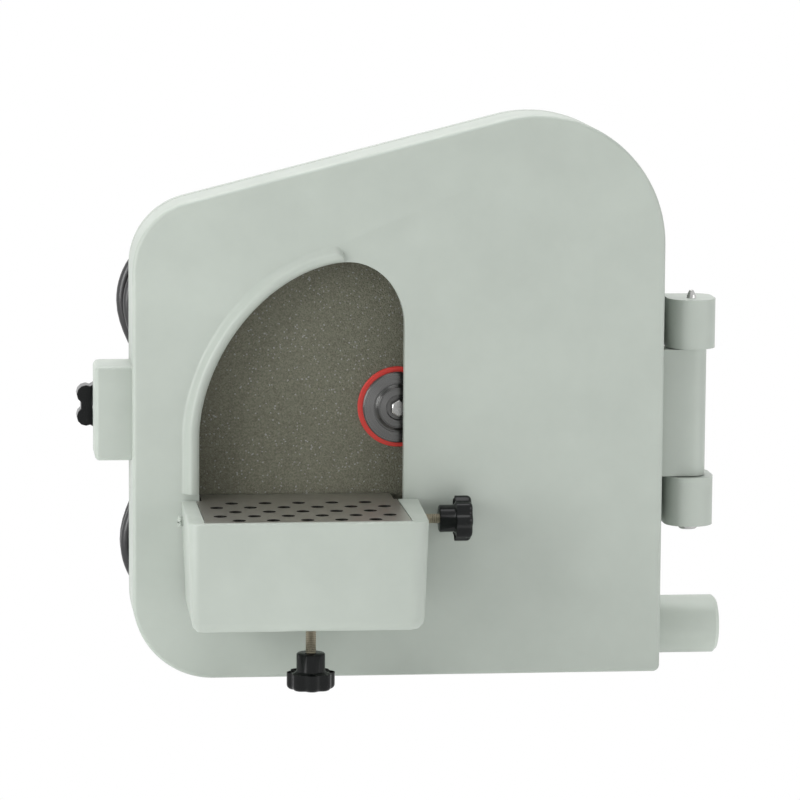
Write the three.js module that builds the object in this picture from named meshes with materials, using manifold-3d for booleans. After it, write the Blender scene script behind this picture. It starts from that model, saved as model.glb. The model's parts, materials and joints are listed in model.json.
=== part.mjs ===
// Dental model trimmer: a wet grinder whose large disc runs behind a hinged door.
// Millimetres. X to the right, Y away from the user, Z up. Y = 0 is the face of the back plate
// on which the door closes, X = 0 is the shaft, Z = 0 is the door's lower edge. The finished group
// is moved so that it stands on Z = 0 with the middle of the machine at X = 0, Y = 0.

import * as THREE from 'three';
import { mergeVertices } from 'three/addons/utils/BufferGeometryUtils.js';
import Module from 'manifold-3d';

const wasm = await Module();
wasm.setup();

// Driving dimensions

const foot_height = 9;
const running_gap = 0.3;
const overrun = 2;
const least_radius = 0.3;

const disc = {
  radius: 127,
  face: 16,
  grit: 2,
  plate: 8,
  bore: 12,
  room_below: 15,
  room_left: 15,
  room_right: 13,
  left_corner_drop: 8,
};

const door = {
  left: disc.radius + disc.room_left,
  right: disc.radius + disc.room_right,
  left_height: 2 * disc.radius - disc.left_corner_drop,
  top_slope: THREE.MathUtils.degToRad(14.4),
  corner_radii: [42.5, 3.5, 69, 37.5],
  depth: 36,
  wall: 6,
  edge_radius: 2,
  rim_gap: 1,
};

const opening = {
  left: 107,
  right: 1.3,
  bottom: 83,
  peak: 221.5,
  shoulder: 130,
  nose_width: 30,
  nose_height: 34,
  sweep_power_share: 1.11,
  drain_left: 95,
  drain_right: -15,
  drain_bottom: 46,
};

const guard = {
  start_steps: 3,
  width: 11.5,
  height: 6,
  lower_end: 98,
  tip_x: 29,
};

const plate = {
  thickness: 8,
  edge_radius: 1.2,
};

const gasket = {
  inset: 1.4,
  width: 3.2,
  groove: 1.4,
};

const hinge = {
  reach: 18,
  depth: 13,
  middle: 137.8,
  barrel_radius: 13,
  door_barrel_radius: 8.6,
  door_barrel_length: 68.4,
  end_barrel_length: 26.4,
  end_gap: 0.5,
  pin_radius: 2.5,
  pin_fit: 0.06,
  pin_tip: 2.4,
  pin_point_share: 0.3,
};

const latch = {
  reach: 12,
  middle: 139.4,
  lug_reach: 21.5,
  lug_height: 51,
  lug_depth: 20,
  lug_radius: 3,
  ear_inset: 1,
  screw_radius: 4,
  screw_fit: 0.6,
  engagement: 12,
  washer_radius: 7.2,
  washer: 1.5,
  knob_radius: 12,
  core_radius: 13.2,
  lobe_radius: 5,
  lobes: 6,
  knob_thickness: 12,
  knob_boss: 5,
  tip_share: 0.7,
  tip_taper_share: 0.3,
};

const tray = {
  left_front: 117.5,
  left_back: 116.5,
  right_front: 6.5,
  right_back: 9,
  top: 96,
  height: 57.5,
  reach: 78,
  back_gap: 1.5,
  corner_radii: [6, 10, 2, 2],
  draft: 1.8,
  floor_radius: 6,
  floor_steps: 3,
  wall: 5,
  floor: 4,
  edge_radius: 1.2,
  ledge: 2,
  front_lip: 4,
  side_lip: 8.5,
  back_bevel: 2.5,
  back_slope: 11,
};

const table_plate = {
  thickness: 2,
  side_fit: 0.4,
  disc_gap: 1.5,
  neck: 1.2,
  rim_sink: 0.4,
  hole_radius: 3.5,
  hole_pitch: 17.6,
  row_pitch: 13.6,
  front_row: 8.5,
  rows: 5,
  columns: 5,
};

const pivot = {
  forward: 14,
  below_top: 9,
  stud_radius: 2.5,
  stud_fit: 0.06,
  left_head_radius: 4.5,
  left_head: 2.4,
};

const arm = {
  base: 5,
  ear: 4.5,
  ear_radius: 4,
  side_gap: 0.5,
  foot_height: 31,
  bar_forward: 5,
  beam_width: 30,
  beam: 9,
  beam_reach: 54,
};

const side_knob = {
  stud_reach: 9.5,
  hub_radius: 7.2,
  hub: 7.5,
  head_radius: 12.1,
  head: 9.5,
  flutes: 8,
  flute_depth: 1.6,
  edge_share: 0.15,
};

const stop_screw = {
  off_middle: 4,
  forward: 42,
  stud_radius: 2.7,
  hub_radius: 7.5,
  hub: 8.5,
  head_radius: 12.6,
  head: 10.5,
  flutes: 8,
  flute_depth: 1.6,
  edge_share: 0.15,
  bottom: 2.5,
  slot_side: 1,
  slot_front: 13,
  slot_back: 8.5,
};

const hub = {
  ring_radius: 21.5,
  ring: 1.4,
  flange_radius: 19.5,
  flange: 3.4,
  step_radius: 12,
  step: 1.8,
  seat_radius: 10,
  seat_sink: 0.8,
  bolt_radius: 4.8,
  bolt_head: 3.2,
  bolt_shank: 3,
  bolt_length: 16,
  crown_share: 0.75,
  edge: 0.6,
  boss: 2,
  shaft_sink: 1,
};

const shaft = {
  radius: 9,
  tail_radius: 6,
  shoulder_radius: 11.5,
  shoulder: 2.5,
  core_radius: 14,
};

const motor = {
  front_bell: 22,
  flange: 8,
  shell_radius: 70,
  shell_wall: 5,
  shell: 118,
  fins: 24,
  fin_height: 5,
  fin_width: 2.4,
  rear_bell: 16,
  core_depth: 23.6,
  core_length: 84,
  core_gap: 0.4,
  coil_end: 12,
  coil_depth: 16,
  coil_inset: 4.6,
  rotor_gap: 1,
  bearing_outer: 20,
  bearing_width: 12,
  bearing_inset: 1,
  bell_wall: 5,
  seal_outer: 16,
  seal_width: 5,
  seal_lip: 1.2,
  seal_lip_shares: [0.25, 0.33],
};

const fan = {
  hub_radius: 12,
  tip_gap: 18,
  blades: 8,
  blade: 2,
  blade_width: 16,
  disc: 2,
  clearance: 5,
};

const fan_cover = {
  gap: 0.4,
  length: 34,
  lap: 6,
  wall: 1.6,
  nose: 6,
  slot_rings: [28, 48],
  slots: 6,
  slot_width: 5,
  slot_arc_share: 0.62,
};

const base = {
  left_inset: 44,
  right_inset: 3,
  length: 184,
  drop: 4,
  floor: 5,
  rib: 5,
  rib_height: 14,
  corner_radius: 14,
  saddle: 16,
  saddle_width: 96,
  saddle_top_share: 0.76,
  front_saddle: 42,
  rear_saddle: 112,
};

const foot = {
  radius: 12.8,
  taper: 1.6,
  recess: 2,
  recess_radius: 5,
  left_inset: 14,
  right_inset: 15,
  front_inset: 15.7,
  rear_inset: 20.3,
};

const sump = {
  width: 59,
  right_inset: 3,
  bottom: 1.5,
  top: 54,
  depth: 34,
  wall: 4,
  mouth_inset: 6,
  spout_radius: 15.8,
  spout_bore: 11,
  spout_height: 14.5,
  spout_y: 24,
  spout_reach: 40.6,
  lip: 2,
};

const terminal_box = {
  left: 46,
  right: 34,
  front: 52,
  length: 84,
  height: 36,
  wall: 2.5,
  corner_radius: 5,
  lid: 3,
  saddle: 6,
};

const rocker = {
  y: 84,
  bezel_length: 32,
  bezel_height: 22,
  bezel: 2,
  body: 14,
  cap_length: 26,
  cap_height: 14,
  cap: 5,
  cap_middle: 7,
  cap_gap: 0.6,
  travel: THREE.MathUtils.degToRad(8),
};

const capacitor = {
  reach: 44,
  width: 38,
  overlap: 8,
  height: 46,
  below_axis: 30,
  front: 112,
  corner_radius: 8,
};

const valve = {
  inset: 34,
  above_axis: 104,
  thread_radius: 7,
  thread_out: 4,
  body_radius: 11,
  body: 34,
  barb_radius: 5.5,
  barb: 24,
  barb_bore: 3,
  barb_taper: 1,
  collar: 2,
  lever_round_share: 0.95,
  stem_radius: 4,
  lever: 34,
  lever_width: 9,
  lever_thickness: 3,
};

const spray = {
  radius: 3.5,
  forward: 23,
  across: 26,
  drop: 14,
  bend_across_share: 0.2,
  bend_forward_share: 0.9,
};

const cord = {
  diameter: 7,
  sides: 8,
  face_gap: 0.3,
  gland_radius: 9,
  gland: 8,
  relief: 30,
  relief_radius: 6,
  relief_tip_radius: 4.2,
  gland_offset: 32,
};

const hank = {
  x: 97.2,
  half_run: 70,
  outer: 41,
  pitch: 8.3,
  waist: 16.7,
  layer: 8,
  loops: 3,
  run_steps: 5,
  bend_steps: 7,
  tube_sides: 6,
  back_gap: 0.7,
  floor_gap: 0.3,
  samples: 4,
};

const tie = {
  reach_steps: 1.5,
  width: 9,
  thickness: 1.6,
  gap: 0.4,
};

const plug = {
  length: 34,
  width: 27,
  height: 19,
  neck_radius: 5.5,
  neck: 12,
  pin_length: 18,
  pin_width: 6.4,
  pin_thickness: 1.6,
  pin_spread: 8,
  earth_drop: 6,
  pocket: 4,
  round: 4,
  shoulder_share: 0.82,
  neck_wall: 0.8,
  pin_turn_share: 0.9,
};

// Materials

function finish(color, roughness, metalness) {
  return new THREE.MeshStandardMaterial({ color, roughness, metalness });
}

const enamel = finish(0xbcc6bf, 0.38, 0.0);
const grit_stone = finish(0x77766c, 0.95, 0.0);
const bright_steel = finish(0xb9bab8, 0.28, 1.0);
const brushed_steel = finish(0x9c9a96, 0.4, 1.0);
const cast_aluminium = finish(0xa8abab, 0.5, 0.9);
const red_fibre = finish(0xc7402f, 0.6, 0.0);
const black_plastic = finish(0x17181a, 0.3, 0.0);
const black_rubber = finish(0x1c1c1c, 0.8, 0.0);
const white_rubber = finish(0xd9d6cd, 0.7, 0.0);
const brass = finish(0xb8974f, 0.35, 1.0);
const copper = finish(0xa4613a, 0.4, 0.9);
const dark_steel = finish(0x5b5d60, 0.45, 0.9);

// Solids

// A closed geometry with its shared corners merged and its faces pointing out.
function closed(geometry) {
  const bare = geometry.clone();
  bare.deleteAttribute('normal');
  bare.deleteAttribute('uv');
  const merged = mergeVertices(bare);
  const places = merged.attributes.position;
  const kept = [];
  let volume = 0;
  const a = new THREE.Vector3();
  const b = new THREE.Vector3();
  const c = new THREE.Vector3();
  for (let i = 0; i < merged.index.count; i += 3) {
    const corners = [merged.index.getX(i), merged.index.getX(i + 1), merged.index.getX(i + 2)];
    if (new Set(corners).size < 3) continue;
    kept.push(...corners);
    a.fromBufferAttribute(places, corners[0]);
    b.fromBufferAttribute(places, corners[1]);
    c.fromBufferAttribute(places, corners[2]);
    volume += a.dot(b.cross(c));
  }
  if (volume < 0) kept.reverse();
  merged.setIndex(kept);
  return merged;
}

function toSolid(shape) {
  if (!shape.isBufferGeometry) return shape;
  const geometry = closed(shape);
  const vertProperties = new Float32Array(geometry.attributes.position.array);
  const triVerts = new Uint32Array(geometry.index.array);
  return new wasm.Manifold(new wasm.Mesh({ numProp: 3, vertProperties, triVerts }));
}

function toGeometry(shape) {
  if (shape.isBufferGeometry) return closed(shape);
  const mesh = shape.getMesh();
  const geometry = new THREE.BufferGeometry();
  geometry.setAttribute('position', new THREE.BufferAttribute(mesh.vertProperties, mesh.numProp));
  geometry.setIndex(new THREE.BufferAttribute(mesh.triVerts, 1));
  return geometry;
}

function join(first, ...others) {
  return others.reduce((sum, other) => sum.add(toSolid(other)), toSolid(first));
}

function cut(first, ...others) {
  return others.reduce((rest, other) => rest.subtract(toSolid(other)), toSolid(first));
}

function common(first, second) {
  return toSolid(first).intersect(toSolid(second));
}

function mesh(name, shape, material) {
  const piece = new THREE.Mesh(toGeometry(shape), material);
  piece.name = name;
  return piece;
}

// Forms

function block(x, y, z) {
  const box = new THREE.BoxGeometry(x[1] - x[0], y[1] - y[0], z[1] - z[0]);
  return box.translate((x[0] + x[1]) / 2, (y[0] + y[1]) / 2, (z[0] + z[1]) / 2);
}

function rodX(radius, x, y, z, sides = 24, end_radius = radius) {
  const rod = new THREE.CylinderGeometry(end_radius, radius, x[1] - x[0], sides);
  return rod.rotateZ(-Math.PI / 2).translate((x[0] + x[1]) / 2, y, z);
}

function rodY(radius, x, y, z, sides = 24, end_radius = radius) {
  const rod = new THREE.CylinderGeometry(end_radius, radius, y[1] - y[0], sides);
  return rod.translate(x, (y[0] + y[1]) / 2, z);
}

function rodZ(radius, x, y, z, sides = 24, end_radius = radius) {
  const rod = new THREE.CylinderGeometry(end_radius, radius, z[1] - z[0], sides);
  return rod.rotateX(Math.PI / 2).translate(x, y, (z[0] + z[1]) / 2);
}

// Turned about Z: pairs of radius and height from axis to axis, or closed on itself.
function turned(profile, sides) {
  const points = profile.map(([radius, height]) => new THREE.Vector2(radius, height));
  return new THREE.LatheGeometry(points, sides).rotateX(Math.PI / 2);
}

// Turned about Y, with the heights of the profile measured towards the back.
function turnedBack(profile, sides) {
  return turned(profile, sides).rotateX(-Math.PI / 2);
}

// The corners of a polygon with every side moved inwards.
function insetCorners(corners, inset) {
  const count = corners.length;
  const sides = corners.map((corner, i) => {
    const next = corners[(i + 1) % count];
    const along = new THREE.Vector2(next[0] - corner[0], next[1] - corner[1]).normalize();
    return { x: corner[0] - along.y * inset, y: corner[1] + along.x * inset, along };
  });
  return sides.map((side, i) => {
    const last = sides[(i + count - 1) % count];
    const turn = last.along.cross(side.along);
    const reach = ((side.x - last.x) * side.along.y - (side.y - last.y) * side.along.x) / turn;
    return [last.x + last.along.x * reach, last.y + last.along.y * reach];
  });
}

// A polygon with rounded corners, as a ring of points. Its corners run anticlockwise.
function roundedRing(outline, inset = 0) {
  const corners = insetCorners(outline.corners, inset);
  const count = corners.length;
  const ring = [];
  corners.forEach((corner, i) => {
    const here = new THREE.Vector2(...corner);
    const before = new THREE.Vector2(...corners[(i + count - 1) % count]).sub(here).normalize();
    const after = new THREE.Vector2(...corners[(i + 1) % count]).sub(here).normalize();
    const half = before.angleTo(after) / 2;
    const radius = Math.max(outline.radii[i] - inset, least_radius);
    const middle = before.clone().add(after).normalize();
    const centre = here.clone().addScaledVector(middle, radius / Math.sin(half));
    const start = here.clone().addScaledVector(before, radius / Math.tan(half)).sub(centre);
    const sweep = Math.PI - 2 * half;
    const steps = outline.steps[i];
    for (let k = 0; k <= steps; k += 1) {
      ring.push(start.clone().rotateAround(new THREE.Vector2(), (sweep * k) / steps).add(centre));
    }
  });
  return ring;
}

// A solid through rings of equal count, each at its own height: pairs of ring and height.
function stack(levels) {
  const count = levels[0][0].length;
  const places = [];
  const faces = [];
  levels.forEach(([ring, height]) => ring.forEach((point) => places.push(point.x, point.y, height)));
  for (let level = 0; level + 1 < levels.length; level += 1) {
    for (let i = 0; i < count; i += 1) {
      const here = level * count + i;
      const next = level * count + ((i + 1) % count);
      faces.push(here, next, next + count, here, next + count, here + count);
    }
  }
  const last = (levels.length - 1) * count;
  THREE.ShapeUtils.triangulateShape(levels[0][0], []).forEach(([a, b, c]) => faces.push(c, b, a));
  THREE.ShapeUtils.triangulateShape(levels[levels.length - 1][0], []).forEach(([a, b, c]) => {
    faces.push(last + a, last + b, last + c);
  });
  const geometry = new THREE.BufferGeometry();
  geometry.setAttribute('position', new THREE.Float32BufferAttribute(places, 3));
  geometry.setIndex(faces);
  return geometry;
}

// Drawn in a plane seen from the front, with heights measured towards the user.
function facingFront(geometry) {
  return geometry.rotateX(Math.PI / 2);
}

function frontStack(outline, levels) {
  return facingFront(stack(levels.map(([inset, forward]) => [roundedRing(outline, inset), forward])));
}

// Seen from the right side, with heights measured to the right.
function facingRight(geometry) {
  return geometry.rotateX(Math.PI / 2).rotateZ(Math.PI / 2);
}

function rectangle(x, y, radius, steps = 4) {
  return {
    corners: [[x[0], y[0]], [x[1], y[0]], [x[1], y[1]], [x[0], y[1]]],
    radii: [radius, radius, radius, radius],
    steps: [steps, steps, steps, steps],
  };
}

// A tube along a list of points, smoothed, with flat ends.
function tube(points, radius, sides, steps) {
  const curve = new THREE.CatmullRomCurve3(points.map((point) => new THREE.Vector3(...point)));
  const section = new THREE.Shape();
  for (let i = 0; i < sides; i += 1) {
    const angle = (2 * Math.PI * i) / sides;
    const x = radius * Math.cos(angle);
    const y = radius * Math.sin(angle);
    if (i === 0) section.moveTo(x, y);
    else section.lineTo(x, y);
  }
  section.closePath();
  return new THREE.ExtrudeGeometry(section, { steps, bevelEnabled: false, extrudePath: curve });
}

// A ring of flutes or lobes: the radius of a knob's edge goes in and out round the turn.
function wavyRing(radius, depth, waves, points_per_wave) {
  const count = waves * points_per_wave;
  return Array.from({ length: count }, (_, i) => {
    const angle = (2 * Math.PI * i) / count;
    const reach = radius - depth * (0.5 - 0.5 * Math.cos(waves * angle)) ** 2;
    return new THREE.Vector2(reach * Math.cos(angle), reach * Math.sin(angle));
  });
}

// Places that several pieces share

const axis_z = disc.radius + disc.room_below;
const door_outline = {
  corners: [
    [-door.left, 0],
    [door.right, 0],
    [door.right, door.left_height + (door.left + door.right) * Math.tan(door.top_slope)],
    [-door.left, door.left_height],
  ],
  radii: door.corner_radii,
  steps: [6, 3, 9, 6],
};
const door_face = -door.depth;
const disc_face = -disc.face;
const disc_back = disc_face + disc.grit + disc.plate;
const plate_back = plate.thickness;
const hinge_x = door.right + hinge.reach;
const hinge_y = -hinge.depth;
const latch_x = -door.left - latch.reach;
const door_barrel_z = [
  hinge.middle - hinge.door_barrel_length / 2,
  hinge.middle + hinge.door_barrel_length / 2,
];
const barrel_z = [
  [door_barrel_z[1] + hinge.end_gap, door_barrel_z[1] + hinge.end_gap + hinge.end_barrel_length],
  [door_barrel_z[0] - hinge.end_gap - hinge.end_barrel_length, door_barrel_z[0] - hinge.end_gap],
];
const latch_z = [latch.middle - latch.lug_height / 2, latch.middle + latch.lug_height / 2];
const tray_bottom = tray.top - tray.height;
const stop_x = (tray.right_front - tray.left_front) / 2 + stop_screw.off_middle;
const tray_front = door_face - tray.reach;
const tray_back = door_face - tray.back_gap;
const pivot_y = door_face - pivot.forward;
const pivot_z = tray.top - pivot.below_top;
const stop_y = door_face - stop_screw.forward;
const bell_end = plate_back + motor.front_bell;
const shell_end = bell_end + motor.shell;
const rear_end = shell_end + motor.rear_bell;
const cover_end = rear_end + fan_cover.length;
const cover_radius = motor.shell_radius + fan_cover.gap + fan_cover.wall;
const core_radius = motor.shell_radius - motor.shell_wall - motor.core_gap;
const core_bore = core_radius - motor.core_depth;
const base_x = [-door.left + base.left_inset, door.right - base.right_inset];
const base_y = [plate_back + running_gap, plate_back + running_gap + base.length];
const sump_x = [door.right - sump.right_inset - sump.width, door.right - sump.right_inset];
const spout_end = door.right + sump.spout_reach;
const valve_x = door.right - valve.inset;
const valve_z = axis_z + valve.above_axis;

// Door and its hinge

// The opening in the door: straight sides, a rounded nose at the top right and a long
// curve that falls to the left.
function openingRing(inset = 0) {
  const left = -opening.left + inset;
  const right = opening.right - inset;
  const bottom = opening.bottom + inset;
  const nose_x = right - opening.nose_width;
  const top = opening.peak - inset;
  const span = nose_x - left;
  const ring = [new THREE.Vector2(left, bottom), new THREE.Vector2(right, bottom)];
  const nose_steps = 7;
  for (let i = 0; i <= nose_steps; i += 1) {
    const angle = (Math.PI / 2) * (i / nose_steps);
    const fall = opening.nose_height * (1 - Math.sin(angle));
    ring.push(new THREE.Vector2(nose_x + opening.nose_width * Math.cos(angle), top - fall));
  }
  const sweep_steps = 14;
  for (let i = 1; i <= sweep_steps; i += 1) {
    const angle = (Math.PI / 2) * (i / sweep_steps);
    const across = Math.sin(angle) ** opening.sweep_power_share;
    const rise = Math.max(Math.cos(angle), 0) ** opening.sweep_power_share;
    ring.push(
      new THREE.Vector2(nose_x - span * across, opening.shoulder + (top - opening.shoulder) * rise),
    );
  }
  return ring;
}

// The raised half-round bead beside the curved edge of the opening.
function guardBead() {
  const edge = openingRing();
  const first = edge.findIndex((point, i) => i > 1 && point.x < -guard.tip_x);
  const along = edge.slice(first).map((point) => point.clone());
  along.push(new THREE.Vector2(-opening.left, guard.lower_end));
  const steps = 6;
  const levels = along.map((point, i) => {
    const before = along[Math.max(i - 1, 0)];
    const after = along[Math.min(i + 1, along.length - 1)];
    const out = new THREE.Vector2(before.y - after.y, after.x - before.x).normalize().negate();
    const grow = Math.sqrt(Math.min(1, (i + 1) / guard.start_steps));
    const ring = [];
    for (let k = 0; k <= steps; k += 1) {
      const angle = (Math.PI * k) / steps;
      const reach = (guard.width / 2) * (1 - Math.cos(angle)) * grow;
      const rise = guard.height * Math.sin(angle) * grow;
      ring.push([point.x + out.x * reach, door_face - rise, point.y + out.y * reach]);
    }
    ring.push([ring[steps][0], door_face + overrun, ring[steps][2]]);
    ring.push([ring[0][0], door_face + overrun, ring[0][2]]);
    return ring;
  });
  return skin(levels);
}

// A solid through loops of points in space, with both ends closed by a fan.
function skin(loops) {
  const count = loops[0].length;
  const faces = [];
  for (let level = 0; level + 1 < loops.length; level += 1) {
    for (let i = 0; i < count; i += 1) {
      const here = level * count + i;
      const next = level * count + ((i + 1) % count);
      faces.push(here, next, next + count, here, next + count, here + count);
    }
  }
  const last = (loops.length - 1) * count;
  for (let i = 1; i + 1 < count; i += 1) {
    faces.push(0, i + 1, i, last, last + i, last + i + 1);
  }
  const geometry = new THREE.BufferGeometry();
  geometry.setAttribute('position', new THREE.Float32BufferAttribute(loops.flat(2), 3));
  geometry.setIndex(faces);
  return geometry;
}

function doorCover() {
  const front = door.depth;
  const edge = door.edge_radius;
  const pan = frontStack(door_outline, [
    [0, door.rim_gap],
    [0, front - edge],
    [edge * (1 - Math.SQRT1_2), front - edge * (1 - Math.SQRT1_2)],
    [edge, front],
  ]);
  const hollow = frontStack(door_outline, [[door.wall, -overrun], [door.wall, front - door.wall]]);
  const window = openingRing();
  const window_cut = facingFront(
    stack([[window, front - door.wall - overrun], [window, front + guard.height + overrun]]),
  );
  const lug_y = [-door.rim_gap - latch.lug_depth, -door.rim_gap];
  const lug_end = latch.lug_radius;
  const lug_x = [-door.left - latch.lug_reach, -door.left + overrun];
  const lug_outline = rectangle(lug_x, latch_z, latch.lug_radius);
  const lug = facingFront(stack([
    [roundedRing(lug_outline), -lug_y[1]],
    [roundedRing(lug_outline), -lug_y[0] - lug_end],
    [roundedRing(lug_outline, lug_end * (1 - Math.SQRT1_2)), -lug_y[0] - lug_end * (1 - Math.SQRT1_2)],
    [roundedRing(lug_outline, lug_end), -lug_y[0]],
  ]));
  const lug_hole = rodY(
    latch.screw_radius + latch.screw_fit,
    latch_x,
    [lug_y[1] - latch.engagement - overrun, overrun],
    latch.middle,
  );
  const barrel = rodZ(hinge.door_barrel_radius, hinge_x, hinge_y, door_barrel_z, 28);
  const web = block(
    [door.right - door.wall, hinge_x],
    [hinge_y - hinge.door_barrel_radius, hinge_y + hinge.door_barrel_radius],
    door_barrel_z,
  );
  const pin_hole = rodZ(
    hinge.pin_radius + hinge.pin_fit,
    hinge_x,
    hinge_y,
    [door_barrel_z[0] - overrun, door_barrel_z[1] + overrun],
  );
  const drain_slot = block(
    [-opening.drain_left, opening.drain_right],
    [door_face - overrun, door_face + door.wall + overrun],
    [opening.drain_bottom, opening.bottom + overrun],
  );
  const shell = cut(join(pan, lug, barrel, web), hollow);
  return mesh(
    'door_cover',
    cut(join(shell, guardBead()), window_cut, drain_slot, lug_hole, pin_hole),
    enamel,
  );
}

// A hinge knuckle of the back plate, with the arm that carries it round behind the door's edge.
function endBarrel(z) {
  const round = rodZ(hinge.barrel_radius, hinge_x, hinge_y, z, 24);
  const arm_back = block([door.right - overrun, hinge_x], [0, plate_back], z);
  const half = block([hinge_x - hinge.barrel_radius, hinge_x + hinge.barrel_radius], [hinge_y, 0], z);
  const corner_x = hinge_x + hinge.barrel_radius - plate_back;
  const rounding = rodZ(plate_back, corner_x, 0, z, 20);
  const infill = block([hinge_x - overrun, corner_x], [-overrun, plate_back], z);
  return [round, arm_back, half, rounding, infill];
}

function backPlate() {
  const edge = plate.edge_radius;
  const slab = frontStack(door_outline, [[edge, -plate_back], [0, -plate_back + edge], [0, 0]]);
  const ear_outline = rectangle(
    [-door.left - latch.lug_reach + latch.ear_inset, -door.left + overrun],
    [latch_z[0] + latch.ear_inset, latch_z[1] - latch.ear_inset],
    latch.lug_radius,
  );
  const ear = facingFront(
    stack([[roundedRing(ear_outline), -plate_back], [roundedRing(ear_outline), 0]]),
  );
  const through = [-overrun, plate_back + overrun];
  const ear_hole = rodY(latch.screw_radius + latch.screw_fit, latch_x, through, latch.middle, 16);
  const knuckles = barrel_z.flatMap((z) => endBarrel(z));
  const pin_holes = barrel_z.map((z) => rodZ(
    hinge.pin_radius + hinge.pin_fit,
    hinge_x,
    hinge_y,
    [z[0] - overrun, z[1] + overrun],
    16,
  ));
  const groove_width = gasket.width + 2 * running_gap;
  const groove = gasketRing(gasket.inset - running_gap, groove_width, [-gasket.groove, overrun]);
  const bell_hole = rodY(shaft.radius + gasket.width, 0, [-overrun, plate_back + overrun], axis_z, 24);
  const mouth = block(
    [sump_x[0] + sump.mouth_inset, sump_x[1] - sump.mouth_inset],
    [-overrun, plate_back + overrun],
    [sump.bottom + sump.wall, sump.top - sump.mouth_inset],
  );
  const valve_hole = rodY(valve.thread_radius + running_gap, valve_x, through, valve_z, 16);
  return mesh(
    'back_plate',
    cut(join(slab, ear, ...knuckles), ear_hole, ...pin_holes, groove, bell_hole, mouth, valve_hole),
    enamel,
  );
}

function gasketRing(inset, width, forward) {
  const outline = roundedRing(door_outline, inset);
  const outer = facingFront(stack([[outline, forward[0]], [outline, forward[1]]]));
  const inner_ring = roundedRing(door_outline, inset + width);
  const inner = facingFront(
    stack([[inner_ring, forward[0] - overrun], [inner_ring, forward[1] + overrun]]),
  );
  return cut(outer, inner);
}

function doorGasket() {
  const forward = [-gasket.groove + running_gap, door.rim_gap - running_gap];
  return mesh('door_gasket', gasketRing(gasket.inset, gasket.width, forward), white_rubber);
}

function hingePin() {
  const r = hinge.pin_radius;
  const bottom = barrel_z[1][0] - running_gap;
  const top = barrel_z[0][1] + hinge.pin_tip;
  const head = hinge.pin_tip;
  const profile = [
    [0, bottom - head],
    [2 * r, bottom - head],
    [2 * r, bottom],
    [r, bottom],
    [r, top - r * hinge.pin_point_share],
    [r * hinge.pin_point_share, top],
    [0, top],
  ];
  const pin = turned(profile, 16);
  pin.translate(hinge_x, hinge_y, 0);
  return mesh('hinge_pin', pin, bright_steel);
}

// Latch: a screw held captive in the ear of the back plate

function latchScrew() {
  const tip = -door.rim_gap - latch.engagement;
  const knob_face = plate_back + running_gap + latch.washer + running_gap;
  const end = knob_face + latch.knob_boss + latch.knob_thickness / 2;
  const profile = [
    [0, tip],
    [latch.screw_radius * latch.tip_share, tip],
    [latch.screw_radius, tip + latch.screw_radius * latch.tip_taper_share],
    [latch.screw_radius, end],
    [0, end],
  ];
  const screw = turnedBack(profile, 16);
  screw.translate(latch_x, 0, latch.middle);
  return mesh('latch_screw', screw, bright_steel);
}

function latchWasher() {
  const face = plate_back + running_gap;
  const profile = [
    [latch.screw_radius + running_gap, face],
    [latch.washer_radius, face],
    [latch.washer_radius, face + latch.washer],
    [latch.screw_radius + running_gap, face + latch.washer],
    [latch.screw_radius + running_gap, face],
  ];
  const washer = turnedBack(profile, 24);
  washer.translate(latch_x, 0, latch.middle);
  return mesh('latch_washer', washer, bright_steel);
}

function latchKnob() {
  const face = plate_back + running_gap + latch.washer + running_gap;
  const boss_end = face + latch.knob_boss;
  const end = boss_end + latch.knob_thickness;
  const boss = rodY(latch.washer_radius, latch_x, [face, boss_end + overrun], latch.middle);
  const lobes = Array.from({ length: latch.lobes }, (_, i) => {
    const angle = (2 * Math.PI * (i + 0.5)) / latch.lobes;
    const x = latch_x + latch.knob_radius * Math.cos(angle);
    const z = latch.middle + latch.knob_radius * Math.sin(angle);
    return rodY(latch.lobe_radius, x, [boss_end, end], z, 12);
  });
  const core = rodY(latch.core_radius, latch_x, [boss_end, end], latch.middle, 30);
  const bore = rodY(
    latch.screw_radius + running_gap,
    latch_x,
    [face - overrun, boss_end + latch.knob_thickness / 2 + running_gap],
    latch.middle,
  );
  return mesh('latch_knob', cut(join(core, boss, ...lobes), bore), black_plastic);
}

// Grinding disc and its hub

function discRing(name, radius, y, material) {
  const profile = [
    [disc.bore, y[0]],
    [radius, y[0]],
    [radius, y[1]],
    [disc.bore, y[1]],
    [disc.bore, y[0]],
  ];
  const ring = turnedBack(profile, 48);
  ring.translate(0, 0, axis_z);
  return mesh(name, ring, material);
}

function discBacking() {
  const grit_back = disc_face + disc.grit;
  const boss_end = disc_back + hub.boss;
  const profile = [
    [shaft.radius + hinge.pin_fit, grit_back],
    [disc.radius, grit_back],
    [disc.radius, disc_back],
    [hub.flange_radius, disc_back],
    [hub.flange_radius, boss_end],
    [shaft.radius + hinge.pin_fit, boss_end],
    [shaft.radius + hinge.pin_fit, grit_back],
  ];
  const backing = turnedBack(profile, 48);
  backing.translate(0, 0, axis_z);
  return mesh('disc_backing', backing, cast_aluminium);
}

function redRing() {
  const front = disc_face - hub.ring;
  const inner = hub.bolt_shank + running_gap;
  const profile = [
    [inner, front],
    [hub.ring_radius, front],
    [hub.ring_radius, disc_face],
    [inner, disc_face],
    [inner, front],
  ];
  const ring = turnedBack(profile, 36);
  ring.translate(0, 0, axis_z);
  return mesh('fibre_washer', ring, red_fibre);
}

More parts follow.
